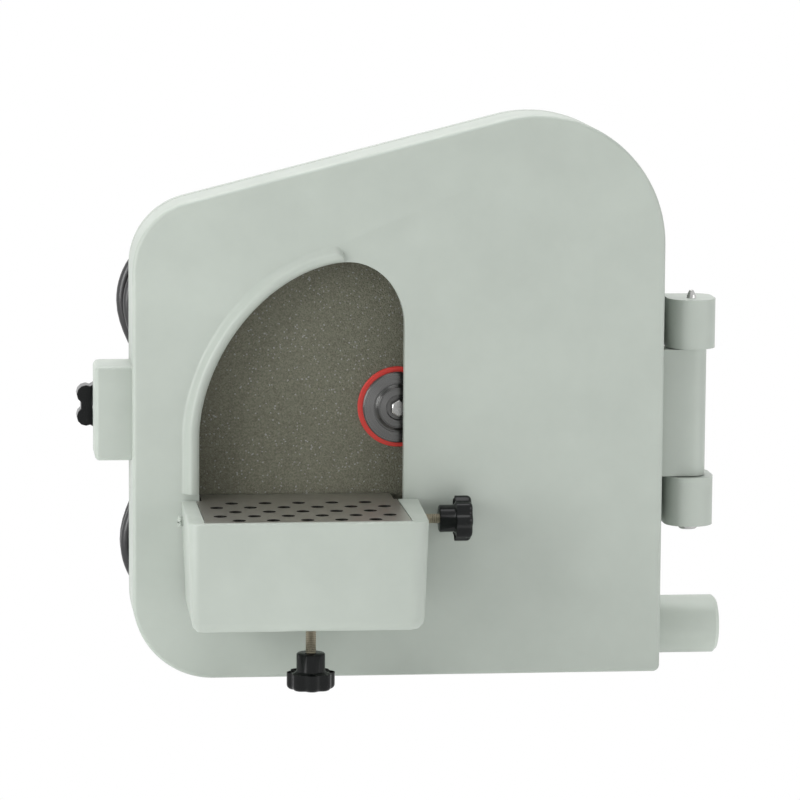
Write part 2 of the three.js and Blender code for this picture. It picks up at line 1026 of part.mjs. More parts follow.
function clampFlange() {
  const back = disc_face - hub.ring;
  const rim = back - hub.flange;
  const step = rim - hub.step;
  const inner = hub.bolt_shank + running_gap;
  const profile = [
    [inner, back],
    [hub.flange_radius, back],
    [hub.flange_radius, rim + hub.edge],
    [hub.flange_radius - hub.edge, rim],
    [hub.step_radius + hub.edge, rim],
    [hub.step_radius, step],
    [hub.seat_radius, step],
    [hub.seat_radius - hub.edge, step + hub.seat_sink],
    [inner, step + hub.seat_sink],
    [inner, back],
  ];
  const flange = turnedBack(profile, 36);
  flange.translate(0, 0, axis_z);
  return mesh('clamp_flange', flange, bright_steel);
}

function wheelBolt() {
  const seat = disc_face - hub.ring - hub.flange - hub.step + hub.seat_sink;
  const head = seat - hub.bolt_head;
  const hexagon = rodY(hub.bolt_radius, 0, [head, seat], 0, 6);
  const profile = [
    [0, head],
    [hub.bolt_radius * hub.crown_share, head],
    [hub.bolt_radius, head + hub.edge],
    [hub.bolt_radius, seat],
    [hub.bolt_shank, seat],
    [hub.bolt_shank, disc_face + hub.bolt_length],
    [0, disc_face + hub.bolt_length],
  ];
  const rod = rodY(hub.bolt_shank, 0, [seat, 2 * hub.bolt_length], 0, 24);
  const crowned = common(turnedBack(profile, 24), join(hexagon, rod));
  return mesh('wheel_bolt', crowned.translate(0, 0, axis_z), bright_steel);
}

function motorShaft() {
  const front = disc_face + hub.shaft_sink;
  const shoulder = disc_back + hub.boss + running_gap;
  const front_bearing_end = bell_end - motor.bearing_inset;
  const tail = rear_end + fan_cover.length / 2;
  const bore = hub.bolt_shank + hinge.pin_fit;
  const bore_end = disc_face + hub.bolt_length + running_gap;
  const profile = [
    [0, bore_end],
    [bore, bore_end],
    [bore, front],
    [shaft.radius, front],
    [shaft.radius, shoulder],
    [shaft.shoulder_radius, shoulder],
    [shaft.shoulder_radius, shoulder + shaft.shoulder],
    [shaft.radius, shoulder + shaft.shoulder],
    [shaft.radius, front_bearing_end + running_gap],
    [shaft.core_radius, front_bearing_end + shaft.shoulder],
    [shaft.core_radius, shell_end - shaft.shoulder],
    [shaft.radius, shell_end],
    [shaft.radius, rear_end + running_gap],
    [shaft.tail_radius, rear_end + shaft.shoulder],
    [shaft.tail_radius, tail],
    [0, tail],
  ];
  const body = turnedBack(profile, 18);
  body.translate(0, 0, axis_z);
  return mesh('motor_shaft', body, bright_steel);
}

function rotor() {
  const middle = (bell_end + shell_end) / 2;
  const y = [middle - motor.core_length / 2, middle + motor.core_length / 2];
  const inner = shaft.core_radius + hinge.pin_fit;
  const profile = [
    [inner, y[0]],
    [core_bore - motor.rotor_gap, y[0]],
    [core_bore - motor.rotor_gap, y[1]],
    [inner, y[1]],
    [inner, y[0]],
  ];
  const core = turnedBack(profile, 36);
  core.translate(0, 0, axis_z);
  return mesh('rotor', core, dark_steel);
}

// Motor

function bearing(name, y) {
  return ringAround(name, shaft.radius + hinge.pin_fit, motor.bearing_outer, y, 36, bright_steel);
}

function frontBearing() {
  const end = bell_end - motor.bearing_inset;
  return bearing('front_bearing', [end - motor.bearing_width, end]);
}

function rearBearing() {
  const start = shell_end + motor.bearing_inset;
  return bearing('rear_bearing', [start, start + motor.bearing_width]);
}

function shaftSeal() {
  const y = [plate_back + running_gap, plate_back + running_gap + motor.seal_width];
  const inner = shaft.radius + running_gap;
  const lip = inner + motor.seal_lip;
  const [lip_end, lip_start] = motor.seal_lip_shares.map((share) => y[0] + motor.seal_width * share);
  const profile = [
    [inner, y[0]],
    [motor.seal_outer, y[0]],
    [motor.seal_outer, y[1]],
    [lip, y[1]],
    [lip, lip_start],
    [inner, lip_end],
    [inner, y[0]],
  ];
  const seal = turnedBack(profile, 18);
  seal.translate(0, 0, axis_z);
  return mesh('shaft_seal', seal, black_rubber);
}

function frontBell() {
  const start = plate_back;
  const bearing_end = bell_end - motor.bearing_inset + running_gap;
  const bearing_start = bearing_end - motor.bearing_width - 2 * running_gap;
  const seat = motor.bearing_outer + hinge.pin_fit;
  const seal_seat = motor.seal_outer + running_gap;
  const boss = seat + motor.bell_wall;
  const rim = motor.shell_radius - motor.shell_wall;
  const profile = [
    [seal_seat, start],
    [motor.shell_radius + motor.flange, start],
    [motor.shell_radius + motor.flange, start + motor.bell_wall],
    [motor.shell_radius, start + 2 * motor.bell_wall],
    [motor.shell_radius, bell_end],
    [rim, bell_end],
    [rim - motor.bell_wall, start + 2 * motor.bell_wall],
    [boss, start + 2 * motor.bell_wall],
    [boss, bearing_end],
    [seat, bearing_end],
    [seat, bearing_start],
    [seal_seat, bearing_start],
    [seal_seat, start],
  ];
  const bell = turnedBack(profile, 36);
  bell.translate(0, 0, axis_z);
  return mesh('motor_front_bell', bell, enamel);
}

function rearBell() {
  const bearing_start = shell_end + motor.bearing_inset - running_gap;
  const seat = motor.bearing_outer + hinge.pin_fit;
  const boss = seat + motor.bell_wall;
  const rim = motor.shell_radius - motor.shell_wall;
  const inner = shaft.radius + running_gap * 2;
  const wall = rear_end - motor.bell_wall / 2;
  const profile = [
    [seat, shell_end],
    [boss, shell_end],
    [boss, wall - motor.bell_wall / 2],
    [rim - motor.bell_wall, wall - motor.bell_wall / 2],
    [rim, shell_end],
    [motor.shell_radius, shell_end],
    [motor.shell_radius, rear_end],
    [inner, rear_end],
    [inner, bearing_start + motor.bearing_width + 2 * running_gap],
    [seat, bearing_start + motor.bearing_width + 2 * running_gap],
    [seat, shell_end],
  ];
  const bell = turnedBack(profile, 36);
  bell.translate(0, 0, axis_z);
  return mesh('motor_rear_bell', bell, enamel);
}

function statorShell() {
  const outline = new THREE.Shape();
  const pitch = (2 * Math.PI) / motor.fins;
  const root = motor.fin_width / 2 / motor.shell_radius;
  for (let i = 0; i < motor.fins; i += 1) {
    const middle = i * pitch;
    const tip = motor.shell_radius + motor.fin_height;
    const section = [
      [-root, motor.shell_radius],
      [-root, tip],
      [root, tip],
      [root, motor.shell_radius],
    ];
    section.forEach(([turn, reach], k) => {
      const x = reach * Math.cos(middle + turn);
      const y = reach * Math.sin(middle + turn);
      if (i === 0 && k === 0) outline.moveTo(x, y);
      else outline.lineTo(x, y);
    });
  }
  outline.closePath();
  const inside = new THREE.Path();
  inside.absarc(0, 0, motor.shell_radius - motor.shell_wall, 0, 2 * Math.PI, true);
  outline.holes.push(inside);
  const shell = new THREE.ExtrudeGeometry(
    outline,
    { depth: motor.shell, bevelEnabled: false, curveSegments: 28 },
  );
  shell.rotateX(-Math.PI / 2).translate(0, bell_end, axis_z);
  return mesh('motor_shell', shell, enamel);
}

function ringAround(name, inner, outer, y, sides, material) {
  const profile = [[inner, y[0]], [outer, y[0]], [outer, y[1]], [inner, y[1]], [inner, y[0]]];
  const ring = turnedBack(profile, sides);
  ring.translate(0, 0, axis_z);
  return mesh(name, ring, material);
}

function statorPieces() {
  const coil_outer = core_radius - motor.coil_inset;
  const middle = (bell_end + shell_end) / 2;
  const core = [middle - motor.core_length / 2, middle + motor.core_length / 2];
  const coil = motor.coil_end;
  return [
    ringAround('stator_core', core_bore, core_radius, core, 24, dark_steel),
    ringAround(
      'front_winding',
      coil_outer - motor.coil_depth,
      coil_outer,
      [core[0] - coil, core[0]],
      24,
      copper,
    ),
    ringAround(
      'rear_winding',
      coil_outer - motor.coil_depth,
      coil_outer,
      [core[1], core[1] + coil],
      24,
      copper,
    ),
  ];
}

function coolingFan() {
  const radius = cover_radius - fan.tip_gap;
  const start = rear_end + fan.clearance;
  const y = [start, start + fan.blade_width + fan.disc];
  const wheel = rodY(radius, 0, [start, start + fan.disc], 0, 28);
  const boss = rodY(fan.hub_radius, 0, y, 0, 18);
  const blades = Array.from({ length: fan.blades }, (_, i) => {
    const blade = block([fan.hub_radius - overrun, radius], y, [-fan.blade / 2, fan.blade / 2]);
    return blade.rotateY((2 * Math.PI * i) / fan.blades);
  });
  const bore = rodY(shaft.tail_radius + hinge.pin_fit, 0, [y[0] - overrun, y[1] + overrun], 0, 18);
  return mesh(
    'cooling_fan',
    cut(join(wheel, boss, ...blades), bore).translate(0, 0, axis_z),
    black_plastic,
  );
}

// The cover's end wall has rings of curved slots that let the air in.
function fanCover() {
  const start = rear_end - fan_cover.lap;
  const r = cover_radius;
  const nose = fan_cover.nose;
  const wall = fan_cover.wall;
  const outer = [
    [0, start],
    [r, start],
    [r, cover_end - nose],
    [r - nose * (1 - Math.SQRT1_2), cover_end - nose * (1 - Math.SQRT1_2)],
    [r - nose, cover_end],
    [0, cover_end],
  ];
  const inner = [
    [0, start - overrun],
    [r - wall, start - overrun],
    [r - wall, cover_end - nose],
    [r - nose, cover_end - wall],
    [0, cover_end - wall],
  ];
  const slots = fan_cover.slot_rings.flatMap((radius) => Array.from({ length: fan_cover.slots }, (_, i) => {
    const sweep = ((2 * Math.PI) / fan_cover.slots) * fan_cover.slot_arc_share;
    const from = (2 * Math.PI * i) / fan_cover.slots;
    const shape = new THREE.Shape();
    shape.absarc(0, 0, radius + fan_cover.slot_width / 2, from, from + sweep, false);
    shape.absarc(0, 0, radius - fan_cover.slot_width / 2, from + sweep, from, true);
    shape.closePath();
    const slot = new THREE.ExtrudeGeometry(
      shape,
      { depth: 2 * overrun + wall, bevelEnabled: false, curveSegments: 2 },
    );
    return slot.rotateX(-Math.PI / 2).translate(0, cover_end - wall - overrun, 0);
  }));
  const shell = cut(turnedBack(outer, 36), turnedBack(inner, 36), ...slots);
  return mesh('fan_cover', shell.translate(0, 0, axis_z), enamel);
}

// Base and feet

function aroundMotor(reach, y) {
  return rodY(motor.shell_radius + motor.fin_height + reach, 0, y, axis_z, 44);
}

function sumpSpace(reach) {
  return join(
    block(
      [sump_x[0] - reach, sump_x[1] + reach],
      [plate_back - overrun, plate_back + sump.depth + reach],
      [sump.bottom - reach, sump.top + reach],
    ),
    rodX(
      sump.spout_radius + reach,
      [sump_x[1] - overrun, spout_end],
      sump.spout_y,
      sump.spout_height,
      32,
    ),
  );
}

function baseFrame() {
  const bottom = -base.drop;
  const outline = rectangle(base_x, base_y, base.corner_radius, 5);
  const slab = stack(
    [[roundedRing(outline), bottom], [roundedRing(outline), bottom + base.rib_height]],
  );
  const tray_hole = stack([
    [roundedRing(outline, base.rib), bottom + base.floor],
    [roundedRing(outline, base.rib), bottom + base.rib_height + overrun],
  ]);
  const top = axis_z - motor.shell_radius * base.saddle_top_share;
  const saddles = [base.front_saddle, base.rear_saddle].map((at) => {
    const half = base.saddle_width / 2;
    return block([-half, half], [at, at + base.saddle], [bottom + base.floor - overrun, top]);
  });
  const body = join(cut(slab, tray_hole), ...saddles);
  return mesh(
    'base_frame',
    cut(body, aroundMotor(running_gap, [0, base_y[1]]), sumpSpace(running_gap)),
    enamel,
  );
}

function feet() {
  const left = base_x[0] + foot.left_inset;
  const right = base_x[1] - foot.right_inset;
  const front = base_y[0] + foot.front_inset;
  const rear = base_y[1] - foot.rear_inset;
  const places = [
    ['foot_front_left', left, front],
    ['foot_front_right', right, front],
    ['foot_rear_left', left, rear],
    ['foot_rear_right', right, rear],
  ];
  const top = -base.drop;
  const bottom = -foot_height;
  return places.map(([name, x, y]) => {
    const profile = [
      [0, bottom + foot.recess],
      [foot.recess_radius, bottom + foot.recess],
      [foot.recess_radius, bottom],
      [foot.radius, bottom],
      [foot.radius - foot.taper, top],
      [0, top],
    ];
    const pad = turned(profile, 20);
    pad.translate(x, y, 0);
    return mesh(name, pad, black_rubber);
  });
}

// Drain

function drainSump() {
  const y = [plate_back, plate_back + sump.depth];
  const shell = block(sump_x, y, [sump.bottom, sump.top]);
  const inside = block(
    [sump_x[0] + sump.wall, sump_x[1] - sump.wall],
    [y[0] - overrun, y[1] - sump.wall],
    [sump.bottom + sump.wall, sump.top - sump.wall],
  );
  const at = [sump.spout_y, sump.spout_height];
  const lip_start = spout_end - sump.lip;
  const spout = rodX(sump.spout_radius, [sump_x[1] - sump.wall / 2, lip_start], ...at, 28);
  const lip = rodX(sump.spout_radius, [lip_start, spout_end], ...at, 28, sump.spout_radius - sump.lip);
  const bore = rodX(sump.spout_bore, [sump_x[1] - sump.wall - overrun, spout_end + overrun], ...at, 20);
  return mesh('drain_sump', cut(join(shell, spout, lip), inside, bore), enamel);
}

// Water supply

function valveBody() {
  const start = plate_back + running_gap;
  const end = start + valve.body;
  const thread = rodY(valve.thread_radius, valve_x, [-valve.thread_out, start + overrun], valve_z, 16);
  const body = rodY(valve.body_radius, valve_x, [start, end], valve_z, 6);
  const barb = rodY(
    valve.barb_radius,
    valve_x,
    [end - overrun, end + valve.barb],
    valve_z,
    14,
    valve.barb_radius - valve.barb_taper,
  );
  const neck = rodZ(
    valve.stem_radius * 2,
    valve_x,
    start + valve.body / 2,
    [valve_z, valve_z + valve.body_radius + valve.collar],
    14,
  );
  const hole = rodY(valve.barb_bore, valve_x, [end, end + valve.barb + overrun], valve_z, 12);
  const front_hole = rodY(
    spray.radius + running_gap,
    valve_x,
    [-valve.thread_out - overrun, 0],
    valve_z,
    16,
  );
  return mesh('water_valve', cut(join(thread, body, barb, neck), hole, front_hole), brass);
}

function valveLever() {
  const y = plate_back + running_gap + valve.body / 2;
  const bottom = valve_z + valve.body_radius + valve.collar + running_gap;
  const end = valve.lever_width / 2;
  const outline = rectangle([-valve.lever, end], [-end, end], end * valve.lever_round_share, 5);
  const lever = stack(
    [[roundedRing(outline), bottom], [roundedRing(outline), bottom + valve.lever_thickness]],
  );
  lever.translate(valve_x, y, 0);
  return mesh('valve_lever', lever, black_plastic);
}

function sprayTube() {
  const start = -running_gap;
  const bend = spray.across * spray.bend_across_share;
  const points = [
    [valve_x, start, valve_z],
    [valve_x, start - spray.forward / 2, valve_z],
    [valve_x - bend, start - spray.forward * spray.bend_forward_share, valve_z - bend / 2],
    [valve_x - spray.across / 2, start - spray.forward, valve_z - spray.drop / 2],
    [valve_x - spray.across, start - spray.forward, valve_z - spray.drop],
  ];
  return mesh('spray_tube', tube(points, spray.radius, 8, 12), bright_steel);
}

// Table

const tray_outline = {
  corners: [
    [-tray.left_front, tray_front],
    [tray.right_front, tray_front],
    [tray.right_back, tray_back],
    [-tray.left_back, tray_back],
  ],
  radii: tray.corner_radii,
  steps: [5, 6, 2, 2],
};
const pocket_x = [-tray.left_front + tray.side_lip, tray.right_front - tray.side_lip];

function tableTray() {
  const r = tray.floor_radius;
  const edge = tray.edge_radius;
  const levels = Array.from({ length: tray.floor_steps + 1 }, (_, step) => {
    const angle = (Math.PI / 2) * (step / tray.floor_steps);
    return [tray.draft + r * (1 - Math.sin(angle)), tray_bottom + r * (1 - Math.cos(angle))];
  });
  levels.push(
    [0, tray.top - edge],
    [edge * (1 - Math.SQRT1_2), tray.top - edge * (1 - Math.SQRT1_2)],
    [edge, tray.top],
  );
  const solid = stack(levels.map(([inset, z]) => [roundedRing(tray_outline, inset), z]));
  const floor_z = tray_bottom + tray.floor;
  const far = tray_back + overrun;
  const cavity_outline = {
    corners: [
      [-tray.left_front + tray.wall, tray_front + tray.wall],
      [tray.right_front - tray.wall, tray_front + tray.wall],
      [tray.right_front - tray.wall, far],
      [-tray.left_front + tray.wall, far],
    ],
    radii: [tray.wall, tray.wall, least_radius, least_radius],
    steps: [4, 4, 1, 1],
  };
  const pocket_z = tray.top - table_plate.rim_sink - table_plate.thickness - running_gap;
  const cavity = stack([
    [roundedRing(cavity_outline, tray.draft), floor_z],
    [roundedRing(cavity_outline), pocket_z - tray.ledge],
  ]);
  const throat = block(
    [pocket_x[0] + tray.ledge, pocket_x[1] - tray.ledge],
    [tray_front + tray.front_lip + tray.ledge, far],
    [pocket_z - tray.ledge - overrun, tray.top + overrun],
  );
  const pocket = block(pocket_x, [tray_front + tray.front_lip, far], [pocket_z, tray.top + overrun]);
  const stud_hole = rodX(
    pivot.stud_radius + pivot.stud_fit,
    [-tray.left_front - overrun, tray.right_back + overrun],
    pivot_y,
    pivot_z,
  );
  const slot_x = stop_screw.stud_radius + stop_screw.slot_side;
  const slot = block(
    [stop_x - slot_x, stop_x + slot_x],
    [stop_y - stop_screw.slot_front, stop_y + stop_screw.slot_back],
    [tray_bottom - overrun, floor_z + overrun],
  );
  return mesh(
    'table_tray',
    cut(solid, cavity, throat, pocket, stud_hole, slot, backRelief()),
    enamel,
  );
}

// Wedges that free the back edges of the tray, so that it can tilt in front of the door.
function backRelief() {
  const x = [-tray.left_front - overrun, tray.right_back + overrun];
  const low = [
    [tray_back + overrun, pivot_z],
    [tray_back, pivot_z],
    [tray_back - tray.back_slope, tray_bottom - overrun],
    [tray_back + overrun, tray_bottom - overrun],
  ];
  const high = [
    [tray_back + overrun, tray.top - tray.back_bevel],
    [tray_back + overrun, tray.top + overrun],
    [tray_back - tray.back_bevel, tray.top + overrun],
    [tray_back - tray.back_bevel, tray.top],
    [tray_back, tray.top - tray.back_bevel],
  ];
  return join(...[low, high].map((corners) => {
    const ring = corners.map(([y, z]) => new THREE.Vector2(y, z));
    const ordered = THREE.ShapeUtils.area(ring) < 0 ? ring.reverse() : ring;
    return facingRight(stack([[ordered, x[0]], [ordered, x[1]]]));
  }));
}

function perforatedPlate() {
  const top = tray.top - table_plate.rim_sink;
  const z = [top - table_plate.thickness, top];
  const fit = table_plate.side_fit;
  const front = tray_front + tray.front_lip + fit;
  const main = block([pocket_x[0] + fit, pocket_x[1] - fit], [front, tray_back], z);
  const neck = block(
    [-opening.left + table_plate.neck, opening.right - table_plate.neck - tray.side_lip / 2],
    [tray_back - overrun, disc_face - table_plate.disc_gap],
    z,
  );
  const middle = (pocket_x[0] + pocket_x[1]) / 2;
  const holes = [];
  for (let row = 0; row < table_plate.rows; row += 1) {
    const count = row % 2 === 0 ? table_plate.columns : table_plate.columns + 1;
    const y = front + table_plate.front_row + row * table_plate.row_pitch;
    for (let column = 0; column < count; column += 1) {
      const x = middle + (column - (count - 1) / 2) * table_plate.hole_pitch;
      holes.push(rodZ(table_plate.hole_radius, x, y, [z[0] - overrun, z[1] + overrun], 10));
    }
  }
  return mesh('perforated_plate', cut(join(main, neck), ...holes), brushed_steel);
}

function tableBracket() {
  const z_foot = [opening.bottom - arm.foot_height, opening.bottom - running_gap];
  const left_ear = -tray.left_front + tray.wall + tray.draft + arm.side_gap;
  const right_ear = tray.right_front - tray.wall - tray.draft - arm.side_gap;
  const bar_y = [door_face - arm.bar_forward - arm.base, door_face - arm.bar_forward];
  const bar_z = [z_foot[0], z_foot[0] + arm.beam];
  const ears = [[left_ear, left_ear + arm.ear], [right_ear - arm.ear, right_ear]].map((x) => {
    const head = rodX(arm.ear_radius, x, pivot_y, pivot_z, 16);
    const corners = [
      [door_face, z_foot[0]],
      [door_face, z_foot[1]],
      [pivot_y, pivot_z + arm.ear_radius],
      [pivot_y - arm.ear_radius, pivot_z],
      [bar_y[0], z_foot[0]],
    ];
    const ring = corners.map(([y, z]) => new THREE.Vector2(y, z));
    const ordered = THREE.ShapeUtils.area(ring) < 0 ? ring.reverse() : ring;
    return join(facingRight(stack([[ordered, x[0]], [ordered, x[1]]])), head);
  });
  const bar = block([left_ear, right_ear], bar_y, bar_z);
  const beam = block(
    [stop_x - arm.beam_width / 2, stop_x + arm.beam_width / 2],
    [door_face - arm.beam_reach, bar_y[1]],
    bar_z,
  );
  const stud_hole = rodX(
    pivot.stud_radius + pivot.stud_fit,
    [left_ear - overrun, right_ear + overrun],
    pivot_y,
    pivot_z,
  );
  const screw_hole = rodZ(
    stop_screw.stud_radius + pivot.stud_fit,
    stop_x,
    stop_y,
    [bar_z[0] - overrun, bar_z[1] + overrun],
  );
  const bracket = join(...ears, bar, beam);
  return mesh('table_bracket', cut(bracket, stud_hole, screw_hole), enamel);
}

function pivotScrew() {
  const ear_end = -tray.left_front + tray.wall + tray.draft + arm.side_gap + arm.ear;
  const face = -tray.left_front - running_gap;
  const profile = [
    [0, face - pivot.left_head],
    [pivot.left_head_radius - pivot.left_head / 2, face - pivot.left_head],
    [pivot.left_head_radius, face],
    [pivot.stud_radius, face],
    [pivot.stud_radius, ear_end],
    [0, ear_end],
  ];
  const screw = turned(profile, 16);
  screw.rotateY(Math.PI / 2).translate(0, pivot_y, pivot_z);
  return mesh('pivot_screw', screw, bright_steel);
}

// A fluted knob turned about Z, with its hub below and its head above.
function flutedKnob(size, bore_radius, bore_depth, material, name) {
  const edge = size.head * size.edge_share;
  const ring = (inset) => wavyRing(size.head_radius - inset, size.flute_depth, size.flutes, 5);
  const head = stack([
    [ring(edge), size.hub],
    [ring(0), size.hub + edge],
    [ring(0), size.hub + size.head - edge],
    [ring(edge * 2), size.hub + size.head],
  ]);
  const stem = rodZ(size.hub_radius, 0, 0, [0, size.hub + overrun], 20);
  const bore = rodZ(bore_radius, 0, 0, [-overrun, bore_depth], 16);
  return cut(join(head, stem), bore);
}

function clampStud() {
  const inner = tray.right_front - tray.wall - tray.draft - arm.side_gap - arm.ear - running_gap;
  const outer = tray.right_back + side_knob.stud_reach + side_knob.hub;
  const stud = rodX(pivot.stud_radius, [inner, outer], pivot_y, pivot_z, 16);
  return mesh('clamp_stud', stud, brass);
}

function clampKnob() {
  const knob = flutedKnob(side_knob, pivot.stud_radius + pivot.stud_fit, side_knob.hub + running_gap);
  const placed = mesh('clamp_knob', knob, black_plastic);
  placed.geometry.rotateY(Math.PI / 2);
  placed.position.set(tray.right_back + side_knob.stud_reach, pivot_y, pivot_z);
  return placed;
}

function stopStud() {
  const bottom = stop_screw.bottom + stop_screw.head;
  const top = opening.bottom - arm.foot_height + arm.beam + overrun;
  const stud = rodZ(stop_screw.stud_radius, stop_x, stop_y, [bottom, top], 16);
  return mesh('stop_stud', stud, bright_steel);
}

function stopKnob() {
  const knob = flutedKnob(
    stop_screw,
    stop_screw.stud_radius + pivot.stud_fit,
    stop_screw.hub + running_gap,
  );
  const placed = mesh('stop_knob', knob, black_plastic);
  placed.geometry.rotateX(Math.PI);
  placed.position.set(stop_x, stop_y, stop_screw.bottom + stop_screw.head + stop_screw.hub);
  return placed;
}

// Terminal box with its switch

const box_floor = axis_z + motor.shell_radius + motor.fin_height - terminal_box.saddle;
const box_x = [-terminal_box.left, terminal_box.right];
const box_y = [terminal_box.front, terminal_box.front + terminal_box.length];
const box_top = box_floor + terminal_box.saddle + terminal_box.height;
const box_middle_z = box_floor + terminal_box.saddle + terminal_box.height / 2;

function terminalBox() {
  const outline = rectangle(box_x, box_y, terminal_box.corner_radius);
  const inside_floor = box_floor + terminal_box.saddle + terminal_box.wall;
  const outer = stack([[roundedRing(outline), box_floor], [roundedRing(outline), box_top]]);
  const inside = stack([
    [roundedRing(outline, terminal_box.wall), inside_floor],
    [roundedRing(outline, terminal_box.wall), box_top + overrun],
  ]);
  const switch_hole = block(
    [box_x[0] - overrun, box_x[0] + terminal_box.wall + overrun],
    [
      rocker.y - rocker.bezel_length / 2 + rocker.bezel,
      rocker.y + rocker.bezel_length / 2 - rocker.bezel,
    ],
    [
      box_middle_z - rocker.bezel_height / 2 + rocker.bezel,
      box_middle_z + rocker.bezel_height / 2 - rocker.bezel,
    ],
  );
  const gland_hole = rodY(
    cord.diameter,
    gland_x,
    [box_y[1] - terminal_box.wall - overrun, box_y[1] + overrun],
    box_middle_z,
  );
  const box = cut(
    outer,
    inside,
    switch_hole,
    gland_hole,
    aroundMotor(running_gap, [0, box_y[1] + overrun]),
  );
  return mesh('terminal_box', box, cast_aluminium);
}

function terminalLid() {
  const outline = rectangle(box_x, box_y, terminal_box.corner_radius);
  const lid = stack([
    [roundedRing(outline), box_top],
    [roundedRing(outline), box_top + terminal_box.lid / 2],
    [roundedRing(outline, terminal_box.lid / 2), box_top + terminal_box.lid],
  ]);
  return mesh('terminal_box_lid', lid, cast_aluminium);
}

function rockerFrame() {
  const half_length = rocker.bezel_length / 2;
  const half_height = rocker.bezel_height / 2;
  const inset = rocker.bezel + running_gap;
  const bezel = block(
    [box_x[0] - rocker.bezel, box_x[0]],
    [rocker.y - half_length, rocker.y + half_length],
    [box_middle_z - half_height, box_middle_z + half_height],
  );
  const body = block(
    [box_x[0] - rocker.bezel / 2, box_x[0] + rocker.body],
    [rocker.y - half_length + inset, rocker.y + half_length - inset],
    [box_middle_z - half_height + inset, box_middle_z + half_height - inset],
  );
  const well = block(
    [box_x[0] - 2 * rocker.bezel, box_x[0] + rocker.body - 2 * rocker.bezel],
    [
      rocker.y - rocker.cap_length / 2 - rocker.cap_gap,
      rocker.y + rocker.cap_length / 2 + rocker.cap_gap,
    ],
    [
      box_middle_z - rocker.cap_height / 2 - rocker.cap_gap,
      box_middle_z + rocker.cap_height / 2 + rocker.cap_gap,
    ],
  );
  return mesh('rocker_frame', cut(join(bezel, body), well), black_plastic);
}

// The rocker's face is a shallow V, so that one half stands out while the other is pressed in.
function rockerCap() {
  const half = rocker.cap_length / 2;
  const lift = half * Math.tan(rocker.travel);
  const corners = [
    [0, 0],
    [half, lift],
    [half, lift - rocker.cap],
    [0, -rocker.cap_middle],
    [-half, lift - rocker.cap],
    [-half, lift],
  ];
  const ring = corners.map(([along, out]) => new THREE.Vector2(along, out));
  const ordered = THREE.ShapeUtils.area(ring) < 0 ? ring.reverse() : ring;
  const cap = stack([[ordered, -rocker.cap_height / 2], [ordered, rocker.cap_height / 2]]);
  cap.rotateZ(Math.PI / 2);
  const placed = mesh('rocker_cap', cap, black_plastic);
  placed.rotation.z = -rocker.travel;
  placed.position.set(box_x[0] - rocker.bezel, rocker.y, box_middle_z);
  return placed;
}

function capacitorHood() {
  const left = -motor.shell_radius - capacitor.reach;
  const outline = rectangle(
    [left, left + capacitor.width + capacitor.overlap],
    [axis_z - capacitor.below_axis, axis_z - capacitor.below_axis + capacitor.height],
    capacitor.corner_radius,
  );
  const hood = facingFront(stack([
    [roundedRing(outline), -cover_end],
    [roundedRing(outline), -capacitor.front - capacitor.corner_radius / 2],
    [roundedRing(outline, capacitor.corner_radius / 2), -capacitor.front],
  ]));
  return mesh(
    'capacitor_hood',
    cut(hood, aroundMotor(running_gap, [0, cover_end + overrun])),
    black_plastic,
  );
}

// Mains cord, wound into a hank behind the motor

const gland_x = -cord.gland_offset;
const gland_end = box_y[1] + cord.gland;
const relief_end = gland_end + cord.relief;
const ground = -foot_height;
const plug_z = ground + plug.height / 2 + running_gap;
const hank_y = cover_end + hank.back_gap + cord.diameter / 2;
const hank_loop_steps = 2 * (hank.run_steps + hank.bend_steps);
const lowest_reach = hank.outer - (hank.pitch * (hank.run_steps + hank.bend_steps / 2)) / hank_loop_steps;
const hank_z = ground + hank.floor_gap + cord.diameter / 2 + lowest_reach + hank.half_run;
const hank_start = [-hank.x + hank.outer, hank_y, hank_z + hank.half_run];
const hank_finish = [-hank.x + hank.outer, hank_y + hank.layer, hank_z + hank.half_run];

function cableGland() {
  const inner = cord.diameter / 2 + running_gap;
  const nut = rodY(cord.gland_radius, gland_x, [box_y[1], gland_end], box_middle_z, 6);
  const spigot = rodY(
    cord.diameter - running_gap,
    gland_x,
    [box_y[1] - terminal_box.wall - overrun, box_y[1] + overrun],
    box_middle_z,
  );
  const relief = rodY(
    cord.relief_radius,
    gland_x,
    [gland_end - overrun, relief_end],
    box_middle_z,
    16,
    cord.relief_tip_radius,
  );
  const bore = rodY(
    inner,
    gland_x,
    [box_y[1] - terminal_box.wall - 2 * overrun, relief_end - cord.diameter],
    box_middle_z,
    16,
  );
  return mesh('cable_gland', cut(join(nut, spigot, relief), bore), black_rubber);
}

// Points of the cord from the gland down to the hank.
const lead_route = [
  [gland_x, relief_end + cord.face_gap, box_middle_z],
  [gland_x, relief_end + 7, box_middle_z],
  [-36, 190, box_middle_z - 4],
  [-41, 198, box_middle_z - 14],
  [-48, 202, box_middle_z - 27],
  [-54, hank_y, box_middle_z - 44],
  [hank_start[0], hank_y, hank_start[2] + 9],
  [hank_start[0], hank_y, hank_start[2] + cord.face_gap],
];

// Points of the cord from the hank down to the plug on the surface.
const tail_route = [
  [hank_finish[0], hank_finish[1], hank_finish[2] - cord.face_gap],
  [hank_finish[0], hank_finish[1], hank_finish[2] - 9],
  [-55, 211, 142],
  [-53, 213, 108],
  [-52, 214, 72],
  [-52, 214, 46],
  [-48, 214, 24],
  [-38, 214, 8],
  [-22, 214, -1],
  [-8, 214, plug_z],
  [2, 214, plug_z],
];

function cordTube(name, route, steps) {
  return mesh(name, tube(route, cord.diameter / 2, cord.sides, steps), black_rubber);
}

